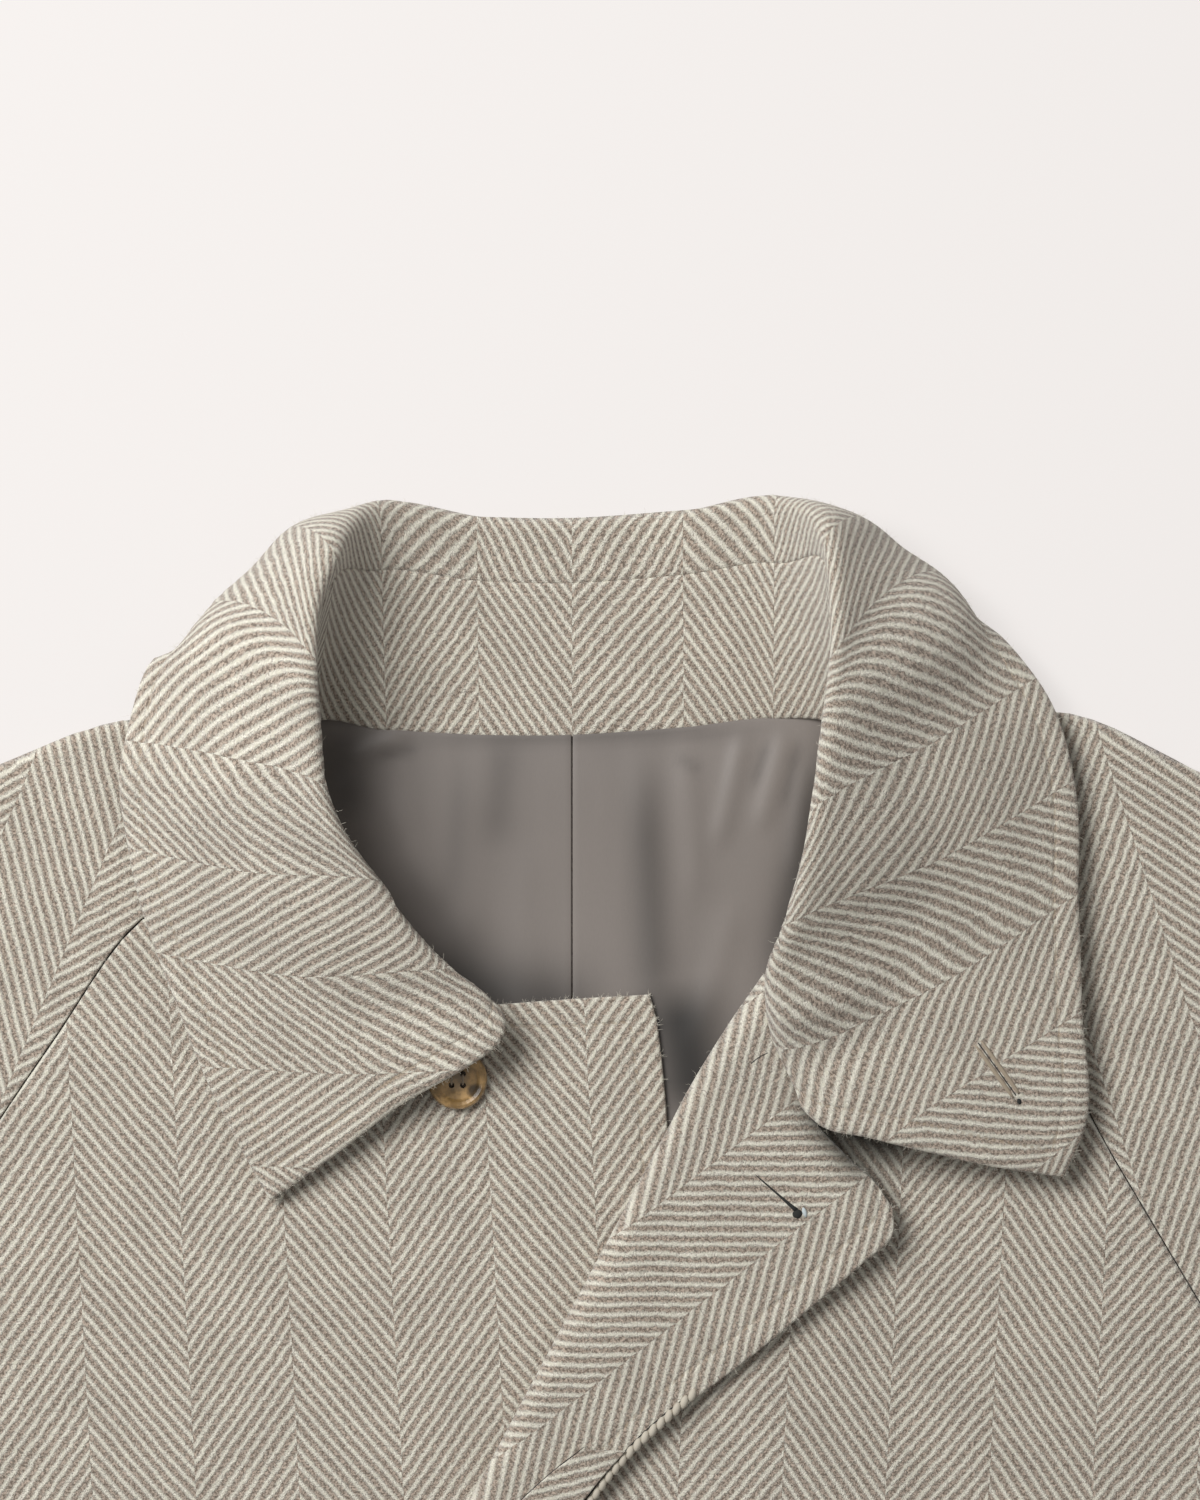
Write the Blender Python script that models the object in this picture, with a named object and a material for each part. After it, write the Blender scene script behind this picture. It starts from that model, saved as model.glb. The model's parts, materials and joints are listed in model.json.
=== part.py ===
"""Balmacaan coat in heavy herringbone wool, laid flat on its back with the left front folded open.

Every piece is a wall of cloth: a sheet worked out from a short table of sections, then given its
thickness. All tables are in millimetres. The origin is the centre back of the neck seam, on the
surface that the coat lies on: +X is the wearer's left, +Y runs up to the collar, +Z is up.
"""

import math

import bmesh
import bpy
import numpy as np

# Thicknesses and gaps
MM = 0.001
CLOTH = 2.0
COLLAR_CLOTH = 3.5
LINING = 1.0
FLY_CLOTH = 1.2
SEAM_GAP = 0.3
COLLAR_SEAM_GAP = 0.8
COLLAR_TIGHT_COLUMN = -5.2
COLLAR_TIGHT_GAP = 1.2

# Heights of the layers, each at the middle of its wall
BACK_Z = CLOTH / 2
LAYER_STEP = 3.8
FRONT_Z = BACK_Z + LAYER_STEP
COLLAR_FLOOR_Z = COLLAR_CLOTH / 2
LINING_GAP = 0.5
LINING_STEP = (CLOTH + LINING) / 2 + LINING_GAP
FACING_GAP = 0.7
FACING_STEP = CLOTH + FACING_GAP

# The collar, whose sections are one herringbone column, 34.6 mm, apart at the neck seam
STAND_SHARE = 0.72
STAND_SHARE_AT_SIDES = 0.9
FRONT_EDGE_AT_SEAM = 7.42
FRONT_EDGE_SLANT = 1.97
LEFT_STAND_END = -7.42
RIGHT_STAND_END = 6.5

# The lapel's roll line: it starts at the neck and runs down to the break point on the front's edge
ROLL_START = np.array((32.7, -128.7))
ROLL_DIRECTION = np.array((-0.4648, -0.8854))
ROLL_NORMAL = np.array((0.8854, -0.4648))
BREAK_POINT_Y = -327.0

# The button
BUTTON_AT = (-38.3, -114.3)
BUTTON_PROFILE = ((0, 0), (7.5, 0), (9.4, 0.8), (10, 2.2), (9.5, 3.6), (8.7, 4.0), (7.6, 3.5), (6.6, 2.9),
                  (0, 2.7))
BUTTON_HOLE_RADIUS = 1.0
BUTTON_HOLE_OFFSET = 1.9

# Collar sections, one each herringbone column from the centre back: the neck seam, the crest of the
# roll, the bend or the middle of the fall, and the fall's outer edge. The wearer's right is negative.
COLLAR_COLUMNS = ("column", "neck", "crest", "bend", "edge")
COLLAR_SECTIONS = (
    (-9.5, (12, -157, 11), (16, -156, 16), (-41, -159, 15), (-98.7, -158, 10.5)),
    (-9.0, (2, -142, 11), (6, -141, 16), (-50.7, -143.7, 15), (-107.3, -143, 10.5)),
    (-8.0, (-18, -111, 11), (-14, -110, 16), (-69, -112, 15.5), (-124, -109.7, 11)),
    (-7.42, (-33, -91, 10), (-28, -90, 16.5), (-78, -93, 17), (-131.6, -90, 10.8)),
    (-7.0, (-60, -88, 7.8), (-42.5, -78.3, 25), (-90.7, -79, 20), (-138.7, -71.7, 10.5)),
    (-6.0, (-90, -74, 7.5), (-64.5, -49, 40), (-107, -44.3, 27), (-148, -36.7, 11)),
    (-5.0, (-103, -48, 7.4), (-82, -17.3, 50), (-119, -5.5, 31), (-148.7, -1.3, 12)),
    (-4.5, (-101, -34, 7.6), (-84, 3, 51.5), (-129.5, 24, 21), (-139.5, 25, 8.5)),
    (-4.0, (-98, -20, 7.8), (-85.3, 23, 52), (-121, 40.5, 10), (-124, 17, 4.5)),
    (-3.5, (-95, -8, 8.2), (-84.5, 42, 49.5), (-106.5, 54, 12), (-108, 25, 3)),
    (-3.0, (-88, 4, 9), (-79, 58, 45), (-94.5, 67, 13), (-93, 30, 1.75)),
    (-2.0, (-62, 2, 6.3), (-65, 76.5, 20), (-67, 70, 2.2), (-66, 4, 1.75)),
    (-1.0, (-31, 0, 6), (-32, 72.5, 9.5), (-32.3, 63, 1.75), (-33, -5, 1.75)),
    (0.0, (0, 0, 6), (0, 71.5, 9), (0, 62, 1.75), (0, -6, 1.75)),
    (1.0, (37.3, 2.5, 6), (37.3, 74.3, 9.5), (37.5, 64, 1.75), (38, -4, 1.75)),
    (2.0, (67.3, 6, 6.3), (68.5, 78.3, 20), (70, 71, 2.2), (66, 6, 1.75)),
    (3.0, (90, 3, 9), (84.5, 64, 45), (99.5, 69, 13), (98, 32, 1.75)),
    (3.5, (97, -6, 8.2), (86.5, 44, 49.5), (111, 60, 12), (113, 30, 3)),
    (4.0, (99, -18, 7.8), (86.5, 23, 52), (124.4, 50.9, 10), (130, 27, 4.5)),
    (4.25, (100, -26, 8), (85, 11, 52), (129.7, 44.6, 15), (136.2, 33.5, 6)),
    (4.5, (101, -34, 8.2), (83.4, -1, 51.5), (132, 34, 22), (140.6, 34.2, 8)),
    (5.0, (102, -50, 8.6), (80, -26.7, 50), (122, 0, 31), (154.7, 19.5, 10)),
    (6.0, (86, -74, 11.5), (71.3, -64.3, 41), (124.3, -38.7, 29), (167.3, -14.3, 12)),
    (6.5, (68.5, -81, 25), (66, -80, 32), (117, -62, 26), (169, -33, 12.5)),
    (7.0, (67.4, -101.6, 22.8), (68.2, -102, 23.4), (113, -86.5, 22.5), (168.7, -52, 13)),
    (7.42, (76.4, -123.4, 20.5), (77.4, -123.8, 21), (116, -103, 21), (169.4, -68, 13)),
    (8.0, (72, -152, 19.5), (73.3, -152, 20), (121, -121.5, 20.5), (170, -91, 14)),
    (9.0, (77, -201, 18.5), (78.3, -201, 19), (125, -166, 18.5), (170.7, -131, 14)),
    (9.5, (81, -226, 18), (82, -226, 18.5), (122.7, -188, 17.5), (161.7, -151, 14)),
)

# Raglan sleeve sections from neck to cuff: the overarm fold, the front seam and the back seam. Below
# the armpit the two seams are one, the underarm seam. The right sleeve mirrors them but for its top.
SLEEVE_COLUMNS = ("row", "fold", "front seam", "back seam")
SLEEVE_SECTIONS_RIGHT_ARM = (
    (0, (-94, 6), (-106, -50), (-79, 0.5)),
    (1, (-149, 5), (-143, -60), (-112, -42)),
    (2, (-191, -10), (-174, -102), (-148, -93)),
    (3, (-260, -40), (-207, -152), (-188, -148)),
    (4, (-330, -82), (-236, -203), (-222, -205)),
    (5, (-393, -140), (-258, -256), (-250, -260)),
    (6, (-440, -215), (-271, -300), (-268, -300)),
    (7, (-474, -300), (-277, -331), (-277, -331)),
    (8, (-500, -380), (-309, -400), (-309, -400)),
    (9, (-537, -495), (-364, -527), (-364, -527)),
    (10, (-575, -610), (-423, -660), (-423, -660)),
)
SLEEVE_SECTIONS_LEFT_ARM = (
    (0, (96, 6), (104.5, -52), (75, 3)),
    (1, (161.7, 7.7), (150, -88), (114, -40)),
    (2, (203, -9), (182, -142), (152, -92)),
    (3, (265, -38), (213, -194), (190, -148)),
    (4, (332, -81), (240, -238), (223, -205)),
    (5, (394, -140), (259, -278), (250, -260)),
    (6, (440, -215), (271, -309), (268, -300)),
    (7, (474, -300), (277, -331), (277, -331)),
    (8, (500, -380), (309, -400), (309, -400)),
    (9, (537, -495), (364, -527), (364, -527)),
    (10, (575, -610), (423, -660), (423, -660)),
)
ARMPIT_ROW = 7
ARMPIT = (277, -331)
RAGLAN_ROWS = (0, 0.25, 0.5, 0.75, 1, 1.5, 2, 2.5, 3, 3.5, 4, 4.5, 5, 5.5, 6, 6.5, 7)
ARM_ROWS = (7.5, 8, 8.5, 9, 9.5, 10)
SIDE_ROWS = (7.5, 8, 8.5, 9, 9.5, 10, 10.5, 11)

# Side seams below the armpit, and the front edges beside them row by row down to the hem
SIDE_SEAM = ((8, (275, -420)), (9, (284, -600)), (10, (308, -840)), (11, (340, -1080)))
RIGHT_FRONT_EDGE = (
    (0, (26, -86)), (1, (28.5, -96)), (2, (31, -118)), (3, (33, -150)), (4, (33.5, -195)),
    (5, (33, -245)), (6, (32, -290)), (7, (31, -327)), (8, (29, -420)), (9, (26, -600)),
    (10, (23, -840)), (11, (20, -1085)),
)
LEFT_FRONT_EDGE_BELOW_ROLL = ((8, (-71, -420)), (9, (-77, -600)), (10, (-83, -840)), (11, (-88, -1085)))

# The lapel as it lies folded back: the gorge seam and top edge, then the outer edge
LAPEL_TOP = ((66.5, -80), (65.6, -92), (67.3, -104.5), (71.8, -116), (77, -126),
             (92, -140), (101.5, -149), (106.8, -157))
LAPEL_OUTER = ((106.8, -157), (107, -166), (98.5, -173.8), (83.5, -186.7), (60.5, -205.7),
               (32.7, -227), (6, -253.5), (-24, -284), (-50, -310))
ROLL_HEIGHTS = ((-78, 29), (-93, 25.5), (-105, 22), (-117, 19.6), (-129, 18), (-150, 17.5), (-1100, 17.5))
ROLL_BEND = ((-70, 4.5), (-78, 4.2), (-93, 2.0), (-105, 0.8), (-117, 0.1), (-129, 0), (-1100, 0))
LAPEL_EDGE_Z = 14.6

# The concealed fly, a strip on the facing: its inner and outer edges from its top end down
FLY_INNER = ((4, -237), (-4.7, -243), (-12, -249.3), (-17.3, -254.3), (-38, -279))
FLY_OUTER = ((18, -237.5), (10.3, -246), (5, -252.5), (-12, -270), (-31, -288))


def ease(x):
    """A smooth step from 0 to 1 as x goes from 0 to 1."""
    x = np.clip(x, 0.0, 1.0)
    return x * x * (3 - 2 * x)


def smooth(knots, values, at):
    """Values at the places in at, on a smooth curve through the table's rows."""
    knots = np.asarray(knots, float)
    values = np.asarray(values, float).reshape(len(knots), -1)
    slopes = np.gradient(values, knots, axis=0)
    at = np.clip(np.atleast_1d(np.asarray(at, float)), knots[0], knots[-1])
    row = np.clip(np.searchsorted(knots, at, side="right") - 1, 0, len(knots) - 2)
    width = (knots[row + 1] - knots[row])[:, None]
    f = (at[:, None] - knots[row][:, None]) / width
    start = (1 + 2 * f) * (1 - f) ** 2 * values[row] + f * (1 - f) ** 2 * width * slopes[row]
    end = f * f * (3 - 2 * f) * values[row + 1] - f * f * (1 - f) * width * slopes[row + 1]
    return start + end


def along(points, fractions):
    """Points at fractions of the length of a smooth curve through a few points."""
    points = np.asarray(points, float)
    lengths = np.linalg.norm(np.diff(points, axis=0), axis=1)
    knots = np.concatenate(([0.0], np.cumsum(lengths)))
    return smooth(knots, points, np.asarray(fractions) * knots[-1])


def table(rows, column):
    """The first column of a table and the values of another one."""
    return [row[0] for row in rows], [row[column] for row in rows]


def collar_section(column):
    """Neck seam, stand seam, crest, bend and outer edge of the collar at one column."""
    marks = []
    for part in range(1, len(COLLAR_COLUMNS)):
        knots, values = table(COLLAR_SECTIONS, part)
        marks.append(smooth(knots, values, column)[0])
    neck, crest, bend, edge = marks
    # The edge only turns under at the back, where it lies on the floor
    edge[2] = max(edge[2], COLLAR_FLOOR_Z)
    away = abs(column)
    beside = float(ease((away - 2) / 1.2) * ease((4.8 - away) / 1.2))
    share = STAND_SHARE + (STAND_SHARE_AT_SIDES - STAND_SHARE) * beside
    seam = neck + share * (crest - neck)
    return neck, seam, crest, bend, edge


def collar_curve(column, stand_rows, fall_rows):
    """Points of the stand and of the fall along one section."""
    marks = np.array(collar_section(column))
    steps = np.maximum(np.linalg.norm(np.diff(marks, axis=0), axis=1), 0.5)
    knots = np.concatenate(([0.0], np.cumsum(steps)))
    tight = float(ease(1.5 - abs(column - COLLAR_TIGHT_COLUMN)))
    gap = min(COLLAR_SEAM_GAP + COLLAR_TIGHT_GAP * tight, 0.4 * steps[0])
    below, above = knots[1] - gap, knots[1] + gap
    stand = smooth(knots, marks, below * np.asarray(stand_rows))
    fall = smooth(knots, marks, above + (knots[-1] - above) * np.asarray(fall_rows))
    stand[:, 2] = np.maximum(stand[:, 2], COLLAR_FLOOR_Z)
    fall[:, 2] = np.maximum(fall[:, 2], COLLAR_FLOOR_Z)
    return stand, fall


def stand_grid(columns=44, rows=5):
    """The collar stand, from the neck seam up to its seam with the fall."""
    places = np.linspace(LEFT_STAND_END, RIGHT_STAND_END, columns + 1)
    shares = np.linspace(0, 1, rows + 1)
    return np.array([collar_curve(place, shares, [0])[0] for place in places])


def fall_grid(columns=48, shares=(0, 0.07, 0.13, 0.19, 0.25, 0.32, 0.42, 0.56, 0.7, 0.85, 1)):
    """The collar fall: its front edges slant forward from the seam to the points."""
    grid = []
    for place in np.linspace(-1, 1, columns + 1):
        line = []
        for share in shares:
            column = place * (FRONT_EDGE_AT_SEAM + FRONT_EDGE_SLANT * share)
            line.append(collar_curve(column, [0], [share])[1][0])
        grid.append(line)
    return np.array(grid)


def neck_rise(x, y):
    """How far the body's layers rise at the back neck, over the fall that lies folded under them."""
    return 4.0 * ease((y + 84) / 74) * ease((112 - np.abs(x)) / 34)


def side_dip(x, y):
    """How far a front's edge comes down to the back along the side seam."""
    depths = [-ARMPIT[1]] + [-point[1] for _, point in SIDE_SEAM]
    widths = [ARMPIT[0]] + [point[0] for _, point in SIDE_SEAM]
    edge = np.interp(-y, depths, widths)
    return 1.5 * ease(1 - (edge - np.abs(x)) / 16) * ease((ARMPIT[1] - y) / 20)


def front_height(x, y):
    return FRONT_Z + neck_rise(x, y) - side_dip(x, y)


def over_right_front(x, y):
    """How far the left front is lifted where it lies on the right one and on its own facing."""
    under_lapel = ease((y + 430) / 90)
    return (2.3 + 2.7 * under_lapel) * ease((122 - x) / 64)


def left_front_height(x, y):
    return front_height(x, y) + over_right_front(x, y)


def roll_place(x, y):
    """Distance down the roll line, and distance from it towards the wearer's left."""
    offset = np.stack((x - ROLL_START[0], y - ROLL_START[1]), axis=-1)
    return offset @ ROLL_DIRECTION, offset @ ROLL_NORMAL


def roll_edge(y):
    """The roll's outermost line, which bends a little towards the neck."""
    knots = [-row[0] for row in ROLL_BEND]
    return smooth(knots, [row[1] for row in ROLL_BEND], -np.asarray(y).ravel())[:, 0].reshape(np.shape(y))


def roll_top(y):
    knots = [-row[0] for row in ROLL_HEIGHTS]
    return np.interp(-np.asarray(y), knots, [row[1] for row in ROLL_HEIGHTS])


def roll_radius(x, y):
    """Radius of the facing's bend: from under the left front to the top of the roll."""
    low = left_front_height(x, y) - FACING_STEP
    return (roll_top(y) - low) / 2


def lapel_height(x, y, width, layer):
    """Height of a folded-back layer: 0 is the facing, on top, and 1 is the front's own cloth."""
    inset = CLOTH / 2 + layer * FACING_STEP
    distance = roll_place(x, y)[1] - roll_edge(y) - inset
    radius = roll_radius(x, y) - layer * FACING_STEP
    middle = left_front_height(x, y) - FACING_STEP + roll_radius(x, y)
    reach = np.clip(radius - distance, 0, radius)
    top = middle + np.sqrt(np.maximum(radius**2 - reach**2, 0))
    fall = ease((distance - radius) / np.maximum(width - radius, 5.0))
    flat_top = top - fall * np.maximum(roll_top(y) - LAPEL_EDGE_Z, 0)
    return np.where(distance < radius, top, flat_top)


def under_roll_height(x, y, layer):
    """Height of a layer on the body's side of the roll, which curls up to the fold."""
    inset = CLOTH / 2 + layer * FACING_STEP
    distance = roll_place(x, y)[1] - roll_edge(y) - inset
    radius = roll_radius(x, y) - layer * FACING_STEP
    fade = ease((y - BREAK_POINT_Y + 60) / 60)
    reach = np.clip(radius - distance, 0, radius)
    lift = radius - np.sqrt(np.maximum(radius**2 - reach**2, 0))
    base = left_front_height(x, y) - (1 - layer) * FACING_STEP
    return base + lift * fade


def roll_line(rows, layer, end=BREAK_POINT_Y):
    """The fold's own edge in plan, from the neck to the break point, for one layer."""
    inset = CLOTH / 2 + layer * FACING_STEP
    start_y = -79.0
    ys = start_y + (end - start_y) * np.linspace(0, 1, rows + 1) ** 1.15
    points = []
    for y in ys:
        q = float(roll_edge(np.array([y]))[0]) + inset
        down = (ROLL_START[1] + q * ROLL_NORMAL[1] - y) / -ROLL_DIRECTION[1]
        points.append(ROLL_START + q * ROLL_NORMAL + down * ROLL_DIRECTION)
    return np.array(points)


def coons(left, right, top, bottom):
    """A sheet between four edges in plan. left and right run down, top and bottom across."""
    left, right, top, bottom = (np.asarray(edge, float) for edge in (left, right, top, bottom))
    rows, columns = len(left), len(top)
    v = np.linspace(0, 1, rows)[:, None, None]
    u = np.linspace(0, 1, columns)[None, :, None]
    across = (1 - u) * left[:, None] + u * right[:, None]
    down = (1 - v) * top[None] + v * bottom[None]
    corners = (1 - u) * (1 - v) * left[0] + u * (1 - v) * right[0]
    corners = corners + (1 - u) * v * left[-1] + u * v * right[-1]
    return across + down - corners


def straight(start, end, count):
    f = np.linspace(0, 1, count)[:, None]
    return (1 - f) * np.asarray(start, float) + f * np.asarray(end, float)


def raised(plan, height):
    """A plan grid with its heights."""
    x, y = plan[..., 0], plan[..., 1]
    return np.concatenate((plan, np.asarray(height(x, y))[..., None]), axis=-1)


def seam_rows(sections, column, sign):
    """A raglan seam from the neck to the armpit, moved a gap to the body's side."""
    knots, values = table(sections, column)
    points = smooth(knots, values, RAGLAN_ROWS)
    points[:, 0] -= sign * SEAM_GAP
    points[:, 1] -= SEAM_GAP
    return points


def side_rows(sign):
    """The side seam below the armpit, down to the hem."""
    knots = [ARMPIT_ROW] + [row[0] for row in SIDE_SEAM]
    values = [(ARMPIT[0] * sign, ARMPIT[1] - 1)] + [(sign * point[0], point[1]) for _, point in SIDE_SEAM]
    return smooth(knots, values, SIDE_ROWS)


def edge_rows(edge):
    """A front's edge, row by row like the seam on its other side."""
    knots, values = table(edge, 1)
    return smooth(knots, values, RAGLAN_ROWS + SIDE_ROWS)


def right_front_grid(columns=9):
    seam = np.concatenate((seam_rows(SLEEVE_SECTIONS_RIGHT_ARM, 2, -1), side_rows(-1)))
    edge = edge_rows(RIGHT_FRONT_EDGE)
    neck = ((seam[0, 0], seam[0, 1]), (-92, -77), (-62, -91), (-28, -89.5), (0, -87.5), (26, -86))
    top = along(neck, np.linspace(0, 1, columns + 1))
    hem = straight(seam[-1], edge[-1], columns + 1)
    return raised(coons(seam, edge, top, hem), front_height)


def left_front_grids(lapel_columns=5, body_columns=8):
    """The left front in two joined sheets: the body's side of the fold, and the folded lapel."""
    seam = np.concatenate((seam_rows(SLEEVE_SECTIONS_LEFT_ARM, 2, 1), side_rows(1)))
    fold = roll_line(len(RAGLAN_ROWS) - 1, 1)
    edge_values = [tuple(fold[-1])] + [point for _, point in LEFT_FRONT_EDGE_BELOW_ROLL]
    below = smooth([7, 8, 9, 10, 11], edge_values, SIDE_ROWS)
    left = np.concatenate((fold, below))
    neck = (tuple(left[0]), (80, -80.5), (93, -73), tuple(seam[0]))
    top = along(neck, np.linspace(0, 1, body_columns + 1))
    hem = straight(left[-1], seam[-1], body_columns + 1)
    plan = coons(left, seam, top, hem)
    plan = near_fold(plan, 0.3, 1.0)
    body = raised(plan, lambda x, y: under_roll_height(x, y, 1))
    return body, lapel_grid(1, fold, lapel_columns)


def near_fold(plan, first, second, radius=3.2):
    """Adds two lines close to the sheet's left edge, where it bends round the fold."""
    step = plan[:, 1] - plan[:, 0]
    length = np.linalg.norm(step, axis=1, keepdims=True)
    unit = step / np.maximum(length, 1e-6)
    near = plan[:, 0] + unit * np.minimum(first * radius, 0.25 * length)
    far = plan[:, 0] + unit * np.minimum(second * radius, 0.6 * length)
    return np.concatenate((plan[:, :1], near[:, None], far[:, None], plan[:, 1:]), axis=1)


def lapel_grid(layer, fold, columns):
    """The folded-back part of one layer, between the fold and the lapel's outer edge."""
    rows = len(fold) - 1
    outer = along(LAPEL_OUTER + (tuple(fold[-1]),), np.linspace(0, 1, rows + 1))
    top = along((tuple(fold[0]),) + LAPEL_TOP[1:], np.linspace(0, 1, columns + 1))
    bottom = np.repeat(fold[-1:], columns + 1, axis=0)
    plan = near_fold(coons(fold, outer, top, bottom), 0.3, 1.0)
    width = np.linalg.norm(plan[:, -1] - plan[:, 0], axis=1)[:, None] + np.zeros(plan.shape[:2])
    return raised(plan, lambda x, y: lapel_height(x, y, width, layer))


def facing_grids(columns=5, hidden=16.0):
    """The facing: what shows on the lapel, and a short hidden return round the fold."""
    fold = roll_line(len(RAGLAN_ROWS) - 1, 0)
    lapel = lapel_grid(0, fold, columns)
    inner = fold + ROLL_NORMAL * hidden
    under = coons(fold, inner, straight(fold[0], inner[0], 3), straight(fold[-1], inner[-1], 3))
    under = near_fold(under, 0.4, 1.4)
    return raised(under, lambda x, y: under_roll_height(x, y, 0)), lapel


def fly_grid(rows=8, columns=3):
    """The top of the concealed fly, which lies on the facing."""
    fractions = np.linspace(0, 1, rows + 1)
    inner, outer = along(FLY_INNER, fractions), along(FLY_OUTER, fractions)
    plan = coons(inner, outer, straight(inner[0], outer[0], columns + 1),
                 straight(inner[-1], outer[-1], columns + 1))
    lift = CLOTH / 2 + SEAM_GAP + FLY_CLOTH / 2
    return raised(plan, lambda x, y: lapel_height(x, y, 60.0, 0) + lift)


def back_grid(columns=12):
    right = np.concatenate((seam_rows(SLEEVE_SECTIONS_RIGHT_ARM, 3, -1), side_rows(-1)))
    left = np.concatenate((seam_rows(SLEEVE_SECTIONS_LEFT_ARM, 3, 1), side_rows(1)))
    neck = (tuple(right[0]), (-60, 1), (-31, -0.7), (0, -0.7), (37.3, 1.8), (60, 4), tuple(left[0]))
    top = along(neck, np.linspace(0, 1, columns + 1))
    hem = straight(right[-1], left[-1], columns + 1)
    return raised(coons(right, left, top, hem), lambda x, y: BACK_Z + neck_rise(x, y))


def lining_grid(sign, rows=12, columns=6):
    """One half of the back lining, as far down as the neck opening shows it and a little further."""
    neck_in = 0.7
    if sign < 0:
        top = ((-0.15, -neck_in), (-31, -neck_in), (-60, 1), (-84, 2))
        outer = ((-84, 2), (-94, -20), (-98, -48), (-98, -90), (-104, -140), (-112, -220))
    else:
        top = ((0.15, -neck_in), (37.3, 1.8), (62, 4.6), (84, 5))
        outer = ((84, 5), (94, -18), (97, -50), (97, -90), (104, -140), (112, -220))
    shares = np.linspace(0, 1, rows + 1) ** 1.6
    centre = np.stack((np.full(rows + 1, top[0][0]), top[0][1] + shares * (-220 - top[0][1])), axis=-1)
    side = along(outer, shares)
    plan = coons(centre, side, along(top, np.linspace(0, 1, columns + 1)),
                 straight(centre[-1], side[-1], columns + 1))
    return raised(plan, lambda x, y: BACK_Z + LINING_STEP + neck_rise(x, y))


def sleeve_grid(sections, layer_columns=6, bend_columns=4):
    """A flattened tube: the front layer, the overarm fold and the back layer, closed under the arm."""
    grid = []
    bend = LAYER_STEP / 2
    for row in RAGLAN_ROWS + ARM_ROWS:
        fold, front, back = (smooth(*table(sections, part), row)[0] for part in (1, 2, 3))
        closed = float(ease((row - ARMPIT_ROW + 0.5) / 1.0))
        line = []
        for seam, base, turn in ((front, FRONT_Z, -1), (back, BACK_Z, 1)):
            inward = fold - seam
            inward = inward / np.linalg.norm(inward)
            places = []
            for angle in np.linspace(0, math.pi / 2, 3):
                out = bend * (1 - math.sin(angle)) * closed
                drop = (bend - SEAM_GAP / 2) * math.cos(angle) * closed
                places.append((seam + inward * (bend - out) * closed, base + turn * drop))
            last = seam + inward * bend * max(closed, 0.3)
            flat_end = fold - inward * bend
            for f in np.linspace(0, 1, layer_columns + 1)[1:]:
                places.append((last + f * (flat_end - last), base))
            line.append(places)
        front_places, back_places = line
        middle = (FRONT_Z + BACK_Z) / 2
        inward_front = (fold - front) / np.linalg.norm(fold - front)
        turn_places = []
        for angle in np.linspace(0, math.pi, bend_columns + 1)[1:-1]:
            place = fold - inward_front * bend * (1 - math.sin(angle))
            turn_places.append((place, middle + bend * math.cos(angle)))
        places = front_places + turn_places + back_places[::-1]
        grid.append([(p[0], p[1], z + neck_rise(p[0], p[1])) for p, z in places])
    return np.array(grid, float)


def plain_material(name, colour, roughness):
    material = bpy.data.materials.new(name)
    material.use_nodes = True
    shader = material.node_tree.nodes["Principled BSDF"]
    shader.inputs["Base Color"].default_value = (*colour, 1)
    shader.inputs["Roughness"].default_value = roughness
    material.diffuse_color = (*colour, 1)
    return material


def cloth_piece(name, grids, thickness, material):
    """One closed wall of cloth made from one or more joined sheets."""
    shape = bmesh.new()
    for grid in grids:
        rows, columns = grid.shape[:2]
        points = [[shape.verts.new(point * MM) for point in line] for line in grid]
        for r in range(rows - 1):
            for c in range(columns - 1):
                corners = (points[r][c], points[r][c + 1], points[r + 1][c + 1], points[r + 1][c])
                shape.faces.new(corners)
    bmesh.ops.remove_doubles(shape, verts=shape.verts, dist=1e-6)
    bmesh.ops.recalc_face_normals(shape, faces=shape.faces)
    mesh = bpy.data.meshes.new(name)
    shape.to_mesh(mesh)
    shape.free()
    mesh.shade_smooth()
    mesh.materials.append(material)
    piece = bpy.data.objects.new(name, mesh)
    bpy.context.scene.collection.objects.link(piece)
    wall = piece.modifiers.new("Cloth thickness", "SOLIDIFY")
    wall.thickness = thickness * MM
    wall.offset = 0
    return piece


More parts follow.
